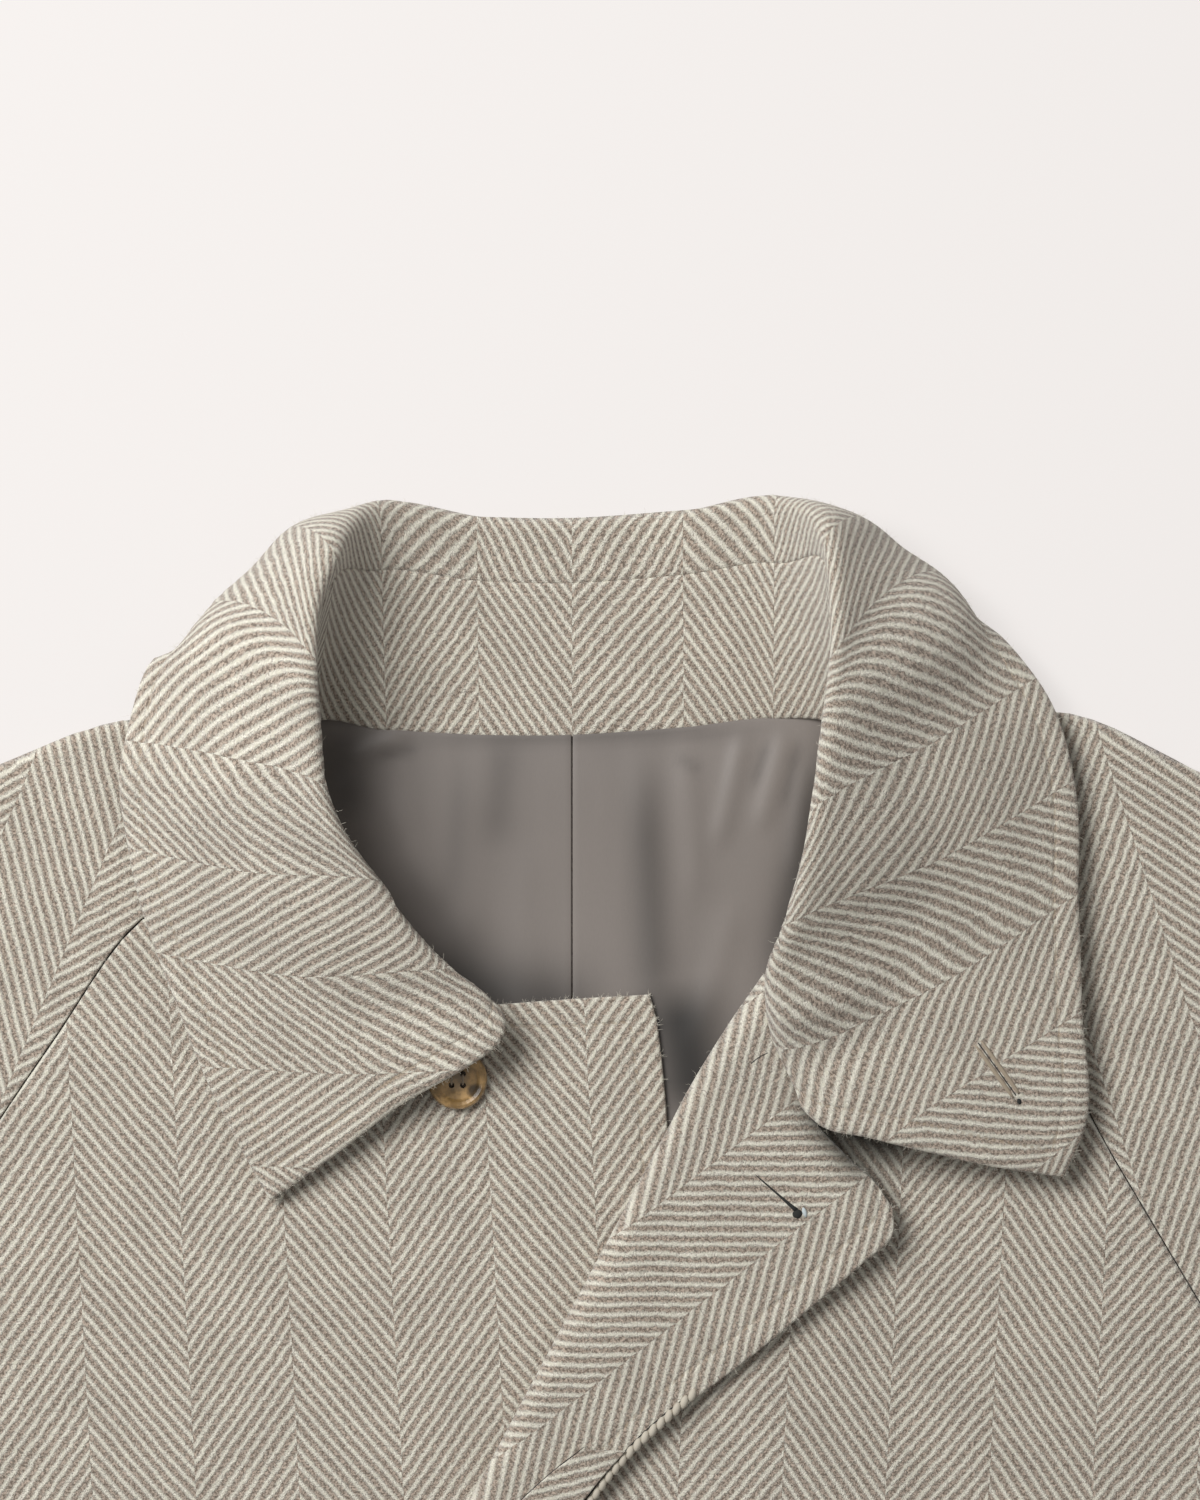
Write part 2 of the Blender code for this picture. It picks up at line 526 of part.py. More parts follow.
def build_button(material, segments=32):
    """A round four-hole button with a raised rim, seated on the right front."""
    seat = FRONT_Z + CLOTH / 2 + SEAM_GAP
    shape = bmesh.new()
    line = [shape.verts.new((r * MM, 0, z * MM)) for r, z in BUTTON_PROFILE]
    edges = [shape.edges.new((a, b)) for a, b in zip(line, line[1:])]
    bmesh.ops.spin(shape, geom=line + edges, cent=(0, 0, 0), axis=(0, 0, 1), angle=2 * math.pi,
                   steps=segments, use_duplicate=False)
    bmesh.ops.remove_doubles(shape, verts=shape.verts, dist=1e-6)
    bmesh.ops.recalc_face_normals(shape, faces=shape.faces)
    mesh = bpy.data.meshes.new("button")
    shape.to_mesh(mesh)
    shape.free()
    mesh.materials.append(material)
    button = bpy.data.objects.new("button", mesh)
    button.location = (BUTTON_AT[0] * MM, BUTTON_AT[1] * MM, seat * MM)
    bpy.context.scene.collection.objects.link(button)
    for index in range(4):
        angle = math.pi / 4 + index * math.pi / 2
        bpy.ops.mesh.primitive_cylinder_add(vertices=12, radius=BUTTON_HOLE_RADIUS * MM, depth=0.02)
        cutter = bpy.context.object
        cutter.name = f"button_hole_cutter_{index}"
        reach = BUTTON_HOLE_OFFSET * math.sqrt(2) * MM
        cutter.location = (button.location.x + reach * math.cos(angle),
                           button.location.y + reach * math.sin(angle), button.location.z)
        cutter.hide_render = True
        cutter.display_type = "WIRE"
        hole = button.modifiers.new(f"Hole {index}", "BOOLEAN")
        hole.object = cutter
        hole.operation = "DIFFERENCE"
    return button


def main():
    for old in list(bpy.data.objects):
        bpy.data.objects.remove(old, do_unlink=True)
    wool = plain_material("herringbone wool", (0.42, 0.36, 0.29), 0.95)
    satin = plain_material("lining satin", (0.22, 0.19, 0.17), 0.4)
    horn = plain_material("button horn", (0.17, 0.1, 0.045), 0.25)
    cloth_piece("back", [back_grid()], CLOTH, wool)
    cloth_piece("lining_back_right", [lining_grid(-1)], LINING, satin)
    cloth_piece("lining_back_left", [lining_grid(1)], LINING, satin)
    cloth_piece("sleeve_right", [sleeve_grid(SLEEVE_SECTIONS_RIGHT_ARM)], CLOTH, wool)
    cloth_piece("sleeve_left", [sleeve_grid(SLEEVE_SECTIONS_LEFT_ARM)], CLOTH, wool)
    cloth_piece("front_right", [right_front_grid()], CLOTH, wool)
    cloth_piece("front_left", left_front_grids(), CLOTH, wool)
    cloth_piece("facing_left", facing_grids(), CLOTH, wool)
    cloth_piece("fly_left", [fly_grid()], FLY_CLOTH, wool)
    cloth_piece("collar_stand", [stand_grid()], COLLAR_CLOTH, wool)
    cloth_piece("collar_fall", [fall_grid()], COLLAR_CLOTH, wool)
    build_button(horn)


if __name__ == "__main__":
    main()
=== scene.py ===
"""Looks of the balmacaan coat: herringbone wool, satin lining and a horn button, on a plain pale floor.

The file is laid out as a Blender add-on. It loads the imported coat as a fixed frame, and makes each
cloth piece again from the same tables of sections, with more points, rounded edges and its grain.
Tables are in millimetres. +X is the wearer's left, +Y runs up to the collar, +Z is up.
"""

import json
import math

import bmesh
import bpy
import numpy as np
from bpy.props import FloatProperty, FloatVectorProperty, PointerProperty
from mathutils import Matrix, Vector

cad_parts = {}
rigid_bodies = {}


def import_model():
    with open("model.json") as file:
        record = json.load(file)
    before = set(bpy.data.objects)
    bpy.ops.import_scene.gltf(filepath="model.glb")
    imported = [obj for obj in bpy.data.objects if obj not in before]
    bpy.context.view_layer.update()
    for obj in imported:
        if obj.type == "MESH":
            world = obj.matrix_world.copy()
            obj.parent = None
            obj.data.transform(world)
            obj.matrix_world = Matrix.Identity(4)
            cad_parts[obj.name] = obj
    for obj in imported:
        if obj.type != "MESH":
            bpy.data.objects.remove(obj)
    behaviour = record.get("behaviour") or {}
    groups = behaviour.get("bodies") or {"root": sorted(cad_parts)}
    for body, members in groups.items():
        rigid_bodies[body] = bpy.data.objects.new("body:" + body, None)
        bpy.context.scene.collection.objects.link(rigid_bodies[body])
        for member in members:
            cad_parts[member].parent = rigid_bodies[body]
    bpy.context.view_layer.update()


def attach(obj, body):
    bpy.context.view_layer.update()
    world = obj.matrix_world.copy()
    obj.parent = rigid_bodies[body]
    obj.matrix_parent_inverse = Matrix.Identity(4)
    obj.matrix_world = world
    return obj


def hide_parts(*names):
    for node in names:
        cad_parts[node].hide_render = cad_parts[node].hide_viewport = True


bl_info = {
    "name": "Balmacaan coat looks",
    "version": (1, 0, 0),
    "blender": (4, 5, 0),
    "location": "3D View > Sidebar > Coat",
    "description": "Makes the cloth, lining and button of a balmacaan coat around its packed solids",
    "category": "Object",
}

for old in list(bpy.data.objects):
    bpy.data.objects.remove(old, do_unlink=True)
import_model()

# Thicknesses and gaps. The collar's stand and fall overlap a little inside their seam.
MM = 0.001
CLOTH = 2.0
COLLAR_CLOTH = 3.5
LINING = 1.0
FLY_CLOTH = 1.2
SEAM_GAP = 0.3
COLLAR_SEAM_GAP = -0.35
FAR_ABOVE = 200.0

# Heights of the layers, each at the middle of its wall
BACK_Z = CLOTH / 2
LAYER_STEP = 3.8
FRONT_Z = BACK_Z + LAYER_STEP
COLLAR_FLOOR_Z = COLLAR_CLOTH / 2
LINING_GAP = 0.5
LINING_STEP = (CLOTH + LINING) / 2 + LINING_GAP
FACING_GAP = 0.7
FACING_STEP = CLOTH + FACING_GAP

# The collar, whose sections are one herringbone column, 34.6 mm, apart at the neck seam. The stand takes
# a larger share of the way up to the crest at the sides, from one column to another.
STAND_SHARE = 0.72
STAND_SHARE_AT_SIDES = 0.9
STAND_SIDES = (2, 4.8)
STAND_SIDES_BLEND = 1.2
FRONT_EDGE_AT_SEAM = 7.42
FRONT_EDGE_SLANT = 1.97
LEFT_STAND_END = -7.42
RIGHT_STAND_END = 6.5

# The fall's end at the wearer's left runs straight next to its seam: by how many columns it is held
# back, and, as shares of the way down, where most and how far to each side
HELD_BACK = 0.085
HELD_BACK_SHARE = 0.23
HELD_BACK_WIDTH = 0.17

# The lapel's roll line: it starts at the neck and runs down to the break point on the front's edge
ROLL_START = np.array((32.7, -128.7))
ROLL_DIRECTION = np.array((-0.4648, -0.8854))
ROLL_NORMAL = np.array((0.8854, -0.4648))
BREAK_POINT_Y = -327.0

# The button: its middle, its holes, a dark spot and a worn patch in its horn, and its thread
BUTTON_AT = (-38.3, -114.3)
BUTTON_HOLE_OFFSET = 1.9
HORN_SPOT_AT = (-32.5, -118, 9.5)
HORN_WORN_AT = (*BUTTON_AT, 8.8)
THREAD_HALF_LENGTH = 1.9
THREAD_RISE = 2.5
THREAD_RADII = (0.2, 0.4, 0.5, 0.5, 0.5, 0.4, 0.2)

# Collar sections, one each herringbone column from the centre back: the neck seam, the crest of the
# roll, the bend or the middle of the fall, and the fall's outer edge. The wearer's right is negative.
COLLAR_COLUMNS = ("column", "neck", "crest", "bend", "edge")
COLLAR_SECTIONS = (
    (-9.5, (12, -157, 11), (16, -156, 16), (-41, -159, 15), (-98.7, -158, 10.5)),
    (-9.0, (2, -142, 11), (6, -141, 16), (-50.7, -143.7, 15), (-107.3, -143, 10.5)),
    (-8.0, (-18, -111, 11), (-14, -110, 16), (-69, -112, 15.5), (-124, -109.7, 11)),
    (-7.42, (-33, -91, 10), (-28, -90, 16.5), (-78, -93, 17), (-131.6, -90, 10.8)),
    (-7.0, (-60, -88, 7.8), (-42.5, -78.3, 25), (-90.7, -79, 20), (-138.7, -71.7, 10.5)),
    (-6.0, (-90, -74, 7.5), (-64.5, -49, 40), (-107, -44.3, 27), (-148, -36.7, 11)),
    (-5.0, (-103, -48, 7.4), (-82, -17.3, 50), (-119, -5.5, 31), (-148.7, -1.3, 12)),
    (-4.5, (-101, -34, 7.6), (-84, 3, 51.5), (-129.5, 24, 21), (-139.5, 25, 8.5)),
    (-4.0, (-98, -20, 7.8), (-85.3, 23, 52), (-121, 40.5, 10), (-124, 17, 4.5)),
    (-3.5, (-95, -8, 8.2), (-84.5, 42, 49.5), (-106.5, 54, 12), (-108, 25, 3)),
    (-3.0, (-88, 4, 9), (-79, 58, 45), (-94.5, 67, 13), (-93, 30, 1.75)),
    (-2.0, (-62, 2, 6.3), (-65, 76.5, 20), (-67, 70, 2.2), (-66, 4, 1.75)),
    (-1.0, (-31, 0, 6), (-32, 72.5, 9.5), (-32.3, 63, 1.75), (-33, -5, 1.75)),
    (0.0, (0, 0, 6), (0, 71.5, 9), (0, 62, 1.75), (0, -6, 1.75)),
    (1.0, (37.3, 2.5, 6), (37.3, 74.3, 9.5), (37.5, 64, 1.75), (38, -4, 1.75)),
    (2.0, (67.3, 6, 6.3), (68.5, 78.3, 20), (70, 71, 2.2), (66, 6, 1.75)),
    (3.0, (90, 3, 9), (84.5, 64, 45), (99.5, 69, 13), (98, 32, 1.75)),
    (3.5, (97, -6, 8.2), (86.5, 44, 49.5), (111, 60, 12), (113, 30, 3)),
    (4.0, (99, -18, 7.8), (86.5, 23, 52), (124.4, 50.9, 10), (130, 27, 4.5)),
    (4.25, (100, -26, 8), (85, 11, 52), (129.7, 44.6, 15), (136.2, 33.5, 6)),
    (4.5, (101, -34, 8.2), (83.4, -1, 51.5), (132, 34, 22), (140.6, 34.2, 8)),
    (5.0, (102, -50, 8.6), (80, -26.7, 50), (122, 0, 31), (154.7, 19.5, 10)),
    (6.0, (86, -74, 11.5), (71.3, -64.3, 41), (124.3, -38.7, 29), (167.3, -14.3, 12)),
    (6.5, (68.5, -81, 25), (66, -80, 32), (117, -62, 26), (169, -33, 12.5)),
    (7.0, (67.4, -101.6, 22.8), (68.2, -102, 23.4), (113, -86.5, 22.5), (168.7, -52, 13)),
    (7.42, (76.4, -123.4, 20.5), (77.4, -123.8, 21), (116, -103, 21), (169.4, -68, 13)),
    (8.0, (72, -152, 19.5), (73.3, -152, 20), (121, -121.5, 20.5), (170, -91, 14)),
    (9.0, (77, -201, 18.5), (78.3, -201, 19), (125, -166, 18.5), (170.7, -131, 14)),
    (9.5, (81, -226, 18), (82, -226, 18.5), (122.7, -188, 17.5), (161.7, -151, 14)),
)

# Raglan sleeve sections from neck to cuff: the overarm fold, the front seam and the back seam. Below
# the armpit the two seams are one, the underarm seam. The right sleeve mirrors them but for its top.
SLEEVE_SECTIONS_RIGHT_ARM = (
    (0, (-94, 6), (-106, -50), (-79, 0.5)),
    (1, (-149, 5), (-143, -60), (-112, -42)),
    (2, (-191, -10), (-174, -102), (-148, -93)),
    (3, (-260, -40), (-207, -152), (-188, -148)),
    (4, (-330, -82), (-236, -203), (-222, -205)),
    (5, (-393, -140), (-258, -256), (-250, -260)),
    (6, (-440, -215), (-271, -300), (-268, -300)),
    (7, (-474, -300), (-277, -331), (-277, -331)),
    (8, (-500, -380), (-309, -400), (-309, -400)),
    (9, (-537, -495), (-364, -527), (-364, -527)),
    (10, (-575, -610), (-423, -660), (-423, -660)),
)
SLEEVE_SECTIONS_LEFT_ARM = (
    (0, (96, 6), (104.5, -52), (75, 3)),
    (1, (161.7, 7.7), (150, -88), (114, -40)),
    (2, (203, -9), (182, -142), (152, -92)),
    (3, (265, -38), (213, -194), (190, -148)),
    (4, (332, -81), (240, -238), (223, -205)),
    (5, (394, -140), (259, -278), (250, -260)),
    (6, (440, -215), (271, -309), (268, -300)),
    (7, (474, -300), (277, -331), (277, -331)),
    (8, (500, -380), (309, -400), (309, -400)),
    (9, (537, -495), (364, -527), (364, -527)),
    (10, (575, -610), (423, -660), (423, -660)),
)
ARMPIT_ROW = 7
ARMPIT = (277, -331)
RAGLAN_ROWS = tuple(np.linspace(0, 7, 85))
ARM_ROWS = tuple(np.linspace(7.125, 10, 24))
SIDE_ROWS = tuple(np.linspace(7.125, 11, 32))

# Side seams below the armpit, and the front edges beside them row by row down to the hem
SIDE_SEAM = ((8, (275, -420)), (9, (284, -600)), (10, (308, -840)), (11, (340, -1080)))
RIGHT_FRONT_EDGE = (
    (0, (26, -86)), (1, (28.5, -96)), (2, (31, -118)), (3, (33, -150)), (4, (33.5, -195)),
    (5, (33, -245)), (6, (32, -290)), (7, (31, -327)), (8, (29, -420)), (9, (26, -600)),
    (10, (23, -840)), (11, (20, -1085)),
)
LEFT_FRONT_EDGE_BELOW_ROLL = ((8, (-71, -420)), (9, (-77, -600)), (10, (-83, -840)), (11, (-88, -1085)))

# The lapel as it lies folded back: the gorge seam and top edge, then the outer edge
LAPEL_TOP = ((68.2, -79), (67.6, -91.5), (69.3, -104), (73.8, -115), (78.6, -124.6),
             (92, -140), (101.5, -149), (106.8, -157))
LAPEL_OUTER = ((106.8, -157), (107, -166), (98.5, -173.8), (83.5, -186.7), (60.5, -205.7),
               (32.7, -227), (6, -253.5), (-24, -284), (-50, -310))
ROLL_HEIGHTS = ((-78, 29), (-93, 25.5), (-105, 22), (-117, 19.6), (-129, 18), (-150, 17.5),
                (-1100, 17.5))
ROLL_BEND = ((-70, 4.5), (-78, 4.2), (-93, 2.0), (-105, 0.8), (-117, 0.1), (-129, 0), (-1100, 0))
LAPEL_EDGE_Z = 14.6

# The concealed fly, a strip on the facing: its inner and outer edges from its top end down
FLY_INNER = ((4, -237), (-4.7, -243), (-12, -249.3), (-17.3, -254.3), (-38, -279))
FLY_OUTER = ((18, -237.5), (10.3, -246), (5, -252.5), (-12, -270), (-31, -288))
LAPEL_WIDTH_AT_FLY = 60.0

# Finished edges, with lines of points at these shares of the thickness, and the trough of the topstitch
SIDES = ("left", "right", "top", "bottom")
ROUND_SHARES = (0.0, 0.04, 0.13, 0.28, 0.5)
TOPSTITCH_INSET = 9.0
TROUGH_OFFSETS = (-4.5, -1.6, -0.8, 0.0, 0.8, 1.6, 3.0)
TROUGH_DEPTH = 0.28
TROUGH_WIDTH = 1.0
FAR_FROM_STITCH = 500.0
WELD_DISTANCE = 1e-6

# The body's layers rise at the back neck, over the fall: height, then where it starts and is full
NECK_RISE = 4.0
NECK_RISE_Y = (-84, -10)
NECK_RISE_X = (112, 78)

# A front's edge comes down to the back along the side seam: depth, width, and length of its start
SIDE_DIP = 1.5
SIDE_DIP_WIDTH = 16
SIDE_DIP_START = 20

# The left front's lift over the right one, the rest of it over its facing too, and where each grows
LIFT_OVER_FRONT = 2.3
LIFT_OVER_FACING = 2.7
LIFT_Y = (-430, -340)
LIFT_X = (122, 58)

# The grain of each flat piece: a point on a reversal of the herringbone, the way up the grain there,
# and the number of the column that starts at the point. The collar's is found at UV_SECTIONS places.
COLUMN = 34.6
UV_SECTIONS = 381
GRAINS = {
    "back": ((0, 0), (0, 1), 0),
    "front_right": ((-133.7, -105.3), (-0.0547, 0.9985), 0),
    "front_left": ((110, -147.7), (0.0518, 0.9987), 0),
    "facing_left": ((90, -152.3), (0.793, 0.609), 1),
    "fly_left": ((-6, -232), (0.62, 0.785), 0),
    "sleeve_right": ((-154, -35.3), (0.392, 0.920), 0),
    "sleeve_left": ((187, -32.7), (-0.311, 0.9505), 1),
}

# The two halves of the lining: neck edge and outer edge, and how far they run on under the stand
LINING_EDGES = {
    "right": (((-0.15, -0.7), (-31, -0.7), (-60, 1.5), (-86, 8)),
              ((-86, 8), (-94, -20), (-98, -48), (-98, -90), (-104, -140), (-112, -220))),
    "left": (((0.15, -0.7), (37.3, 1.8), (62, 4.6), (84, 5)),
             ((84, 5), (94, -18), (97, -50), (97, -90), (104, -140), (112, -220))),
}
LINING_UNDER_STAND = 3.0

# Folds of the loose lining: start, end, height and width. Only a share of each height is used.
WAVE_SHARE = 0.6
LINING_WAVES = (
    ((-92, -12), (-52, 1), 1.6, 2.4), ((-88, -20), (-66, -4), 1.2, 2.2),
    ((-60, -16), (-44, -60), 0.8, 5.0), ((-34, -8), (-36, -80), 0.7, 7.0),
    ((-14, -30), (-16, -100), 0.6, 6.0), ((22, 2), (30, -95), 1.0, 5.0),
    ((38, 0), (42, -60), 0.9, 4.0), ((58, 4), (48, -40), 1.4, 3.2),
    ((72, 4), (62, -34), 1.3, 3.0), ((78, -6), (74, -50), 0.9, 3.0),
    ((56, -50), (40, -110), 0.9, 5.0),
)

# Loose hairs of the wool, as far from the neck as the photograph shows. They grow near a border, or
# where the cloth's normal has turned so far from straight up, and not on its underside.
FUZZ_REACH = 260
FUZZ_NEAR_BORDER = 1.5
FUZZ_TURNED = 0.35
FUZZ_UNDERSIDE = -0.2
FUZZ_LENGTH = (0.6, 2.2)
FUZZ_RADIUS = 0.05

# The weave's unevenness: cells of noise to a millimetre
SLOW_NOISE = 0.05
WOBBLE_NOISE = 0.28
FUZZ_NOISE = 0.75
MOTTLE_NOISE = 0.9
SPECK_NOISE = 1.15
FINE_NOISE = 1.9

# Colours that have no setting in the panel
DULL_CREAM = (0.60, 0.57, 0.47, 1)
PALE_GROUND = (0.50, 0.405, 0.325, 1)
STITCH_COLOUR = (0.36, 0.28, 0.19, 1)
FUZZ_COLOUR = (0.62, 0.58, 0.49)
CORD_COLOUR = (0.50, 0.455, 0.375)
SLIT_COLOUR = (0.02, 0.02, 0.018)
GIMP_COLOUR = (0.5, 0.55, 0.56)
SATIN_THREAD = (0.12, 0.105, 0.09, 1)
SATIN_SHADE = (0.02, 0.018, 0.016, 1)
DARK_HORN = (0.23, 0.138, 0.048, 1)
LIGHT_HORN = (0.62, 0.39, 0.165, 1)
HORN_SPOT = (0.012, 0.01, 0.008, 1)
WORN_HORN = (0.33, 0.27, 0.2, 1)
BUTTON_THREAD = (0.36, 0.29, 0.21)

# Shade in the hollow under the fall's end, next to the lapel: start, end, half width and strength
WOOL_SHADE = (0.035, 0.032, 0.022, 1)
FACING_SHADES = (((74, -117), (100, -149), 5.5, 0.9),)
FRONT_SHADES = (((72, -120), (116, -141), 8.5, 0.85), ((82, -128), (106, -158), 5.0, 0.5))

# Shade in the lining's hollows: start, end, half width and strength
LINING_SHADES = (
    ((-62, -78), (16, -94), 13, 0.75), ((34, -80), (43, -130), 13, 0.95),
    ((24, -6), (28, -100), 6.5, 0.5), ((87, 4), (66, -90), 7.0, 0.7),
    ((-78, 6), (-77, -30), 9.0, 0.5), ((-22, 4), (-26, -40), 6.0, 0.3),
    ((-37, -6), (-40, -60), 4.5, 0.22), ((-66, -6), (-50, -4), 2.5, 0.3),
    ((34, -6), (44, -12), 2.5, 0.22), ((66, 0), (60, -18), 2.0, 0.3),
    ((76, 0), (70, -26), 2.0, 0.3), ((-60, -40), (-30, -80), 9.0, 0.3),
    ((-60, -1), (70, 2), 3.0, 0.3),
)

# The buttonhole on the facing: its slit, its round end and a tuft of bluish gimp, each with its radii
SLIT = ((60.3, -145.0), (74.6, -157.5))
SLIT_RADII = ((0, 0.15, 0.6, 0.9, 1), (0.12, 0.3, 0.42, 0.7, 0.9))
EYE = ((74.6, -157.2), (75.4, -160.2))
EYE_RADII = (0.5, 1.2, 1.6, 1.7, 1.6, 1.2, 0.4)
GIMP = ((76.9, -156.6), (77.9, -159.8))
GIMP_RADII = (0.3, 0.7, 0.8, 0.6, 0.2)

# The painted shadows along the fly and the facing's edge, and a short line of painted shade in the crease
# at the gorge
FLY_SHADOWS = (
    ("fly_shadow_inner", ((4, -236.3), (-4.7, -243), (-12, -249.3), (-17.3, -254.3), (-36, -276))),
    ("fly_shadow_outer", ((41, -217.4), (31.7, -224.6), (19, -236.3), (10.3, -246), (5, -253.3),
                          (-10, -269))),
)
FLY_SHADOW_RADII = (0.08, 0.3)
GORGE_CREASE_SHADE = ((59.5, -108.5), (61.7, -106.7), (65, -104.9))
GORGE_CREASE_SHADE_RADIUS = 0.16

# The thick cords of the weave along the facing's edge, below the fly's top
CORDS_COURSE = ((40, -219), (32, -226.2), (19.8, -237.5), (11.3, -247.2), (6, -254.5))
CORD_COUNT = 15
CORD_LEAN = (1.4, 4.6)
CORD_RADII = (0.3, 0.95, 1.25, 1.3, 1.25, 0.95, 0.3)
CORD_FOOT = (-1.2, 1.0)
CORD_SUNK = 0.5
CORD_BOW = 0.5

# The buttonhole in the collar's left end, on the fall: its slit, its rims to both sides and its dark end
COLLAR_SLIT = ((135.0, -101.7), (147.7, -119.3))
COLLAR_SLIT_RADIUS = 0.3
COLLAR_RIM_RADII = ((0, 0.2, 0.8, 1), (0.3, 0.7, 0.75, 0.4))
COLLAR_RIM_SIDE = np.array((0.81, 0.585))
COLLAR_RIM_OFFSETS = (-1.2, 1.2)
COLLAR_EYE = ((148.4, -120.3), (148.58, -120.9), (148.79, -121.6), (148.97, -122.2))
COLLAR_EYE_RADII = (0.3, 0.8, 0.8, 0.2)

# What the photograph shows: the centre and size of its frame, at the height of the cloth
VIEW_CENTRE = (9.33, -4.33)
VIEW_SIZE = (400.0, 500.0)
VIEW_PLANE = 12.0

# The floor is lit paper: how much of its brightness is its own, and how much it takes from the lights
FLOOR_GLOW = 0.8
FLOOR_DIFFUSE = 0.2
FLOOR_SIZE = 8
FLOOR_HEIGHT = -0.0004

# The large soft light, in metres, above the collar at the upper left
KEY_AT = (-0.95, 0.7, 1.5)
KEY_SIZE = 1.0


def ease(x):
    """A smooth step from 0 to 1 as x goes from 0 to 1."""
    x = np.clip(x, 0.0, 1.0)
    return x * x * (3 - 2 * x)


def fade(value, start, end):
    """A smooth step from 0 to 1 as the value goes from start to end."""
    return ease((value - start) / (end - start))


def smooth(knots, values, at):
    """Values at the places in at, on a smooth curve through the table's rows."""
    knots = np.asarray(knots, float)
    values = np.asarray(values, float).reshape(len(knots), -1)
    slopes = np.gradient(values, knots, axis=0)
    at = np.clip(np.atleast_1d(np.asarray(at, float)), knots[0], knots[-1])
    row = np.clip(np.searchsorted(knots, at, side="right") - 1, 0, len(knots) - 2)
    width = (knots[row + 1] - knots[row])[:, None]
    f = (at[:, None] - knots[row][:, None]) / width
    start = (1 + 2 * f) * (1 - f) ** 2 * values[row] + f * (1 - f) ** 2 * width * slopes[row]
    end = f * f * (3 - 2 * f) * values[row + 1] - f * f * (1 - f) * width * slopes[row + 1]
    return start + end


def along(points, fractions):
    """Points at fractions of the length of a smooth curve through a few points."""
    points = np.asarray(points, float)
    lengths = np.linalg.norm(np.diff(points, axis=0), axis=1)
    knots = np.concatenate(([0.0], np.cumsum(lengths)))
    return smooth(knots, points, np.asarray(fractions) * knots[-1])


def table(rows, column):
    """The first column of a table and the values of another one."""
    return [row[0] for row in rows], [row[column] for row in rows]


def collar_section(column):
    """Neck seam, stand seam, crest, bend and outer edge of the collar at one column."""
    marks = []
    for part in range(1, len(COLLAR_COLUMNS)):
        knots, values = table(COLLAR_SECTIONS, part)
        marks.append(smooth(knots, values, column)[0])
    neck, crest, bend, edge = marks
    # The edge only turns under at the back, where it lies on the floor
    edge[2] = max(edge[2], COLLAR_FLOOR_Z)
    away = abs(column)
    first, last = STAND_SIDES
    beside = float(ease((away - first) / STAND_SIDES_BLEND) * ease((last - away) / STAND_SIDES_BLEND))
    share = STAND_SHARE + (STAND_SHARE_AT_SIDES - STAND_SHARE) * beside
    seam = neck + share * (crest - neck)
    return neck, seam, crest, bend, edge


def collar_curve(column, stand_rows, fall_rows):
    """Points of the stand and of the fall along one section."""
    marks = np.array(collar_section(column))
    steps = np.maximum(np.linalg.norm(np.diff(marks, axis=0), axis=1), 0.5)
    knots = np.concatenate(([0.0], np.cumsum(steps)))
    gap = min(COLLAR_SEAM_GAP, 0.4 * steps[0])
    below, above = knots[1] - gap, knots[1] + gap
    stand = smooth(knots, marks, below * np.asarray(stand_rows))
    fall = smooth(knots, marks, above + (knots[-1] - above) * np.asarray(fall_rows))
    stand[:, 2] = np.maximum(stand[:, 2], COLLAR_FLOOR_Z)
    fall[:, 2] = np.maximum(fall[:, 2], COLLAR_FLOOR_Z)
    return stand, fall


def stand_grid(columns=200, rows=16):
    """The collar stand, from the neck seam up to its seam with the fall."""
    places = np.linspace(LEFT_STAND_END, RIGHT_STAND_END, columns + 1)
    shares = np.linspace(0, 1, rows + 1)
    return np.array([collar_curve(place, shares, [0])[0] for place in places])


def front_column(places, shares):
    """The collar's column for each place, from -1 to 1 along the fall, and share down from the seam.

    The front edges slant forward. Near its seam the left one, at 1, is held back.
    """
    slant = places * (FRONT_EDGE_AT_SEAM + FRONT_EDGE_SLANT * shares)
    near = np.exp(-(((shares - HELD_BACK_SHARE) / HELD_BACK_WIDTH) ** 2))
    return slant - HELD_BACK * np.maximum(places, 0) ** 6 * near


def fall_grid(columns=240, shares=tuple(np.linspace(0, 1, 61))):
    """The collar fall: its front edges slant forward from the seam to the points."""
    grid = []
    for place in np.linspace(-1, 1, columns + 1):
        line = []
        for share in shares:
            column = float(front_column(place, share))
            line.append(collar_curve(column, [0], [share])[1][0])
        grid.append(line)
    return np.array(grid)


def neck_rise(x, y):
    """How far the body's layers rise at the back neck, over the fall that lies folded under them."""
    return NECK_RISE * fade(y, *NECK_RISE_Y) * fade(np.abs(x), *NECK_RISE_X)


def side_dip(x, y):
    """How far a front's edge comes down to the back along the side seam."""
    depths = [-ARMPIT[1]] + [-point[1] for _, point in SIDE_SEAM]
    widths = [ARMPIT[0]] + [point[0] for _, point in SIDE_SEAM]
    edge = np.interp(-y, depths, widths)
    beside = ease(1 - (edge - np.abs(x)) / SIDE_DIP_WIDTH)
    return SIDE_DIP * beside * ease((ARMPIT[1] - y) / SIDE_DIP_START)


def front_height(x, y):
    return FRONT_Z + neck_rise(x, y) - side_dip(x, y)


def over_right_front(x, y):
    """How far the left front is lifted where it lies on the right one and on its own facing."""
    return (LIFT_OVER_FRONT + LIFT_OVER_FACING * fade(y, *LIFT_Y)) * fade(x, *LIFT_X)


def left_front_height(x, y):
    return front_height(x, y) + over_right_front(x, y)


def roll_place(x, y):
    """Distance down the roll line, and distance from it towards the wearer's left."""
    offset = np.stack((x - ROLL_START[0], y - ROLL_START[1]), axis=-1)
    return offset @ ROLL_DIRECTION, offset @ ROLL_NORMAL


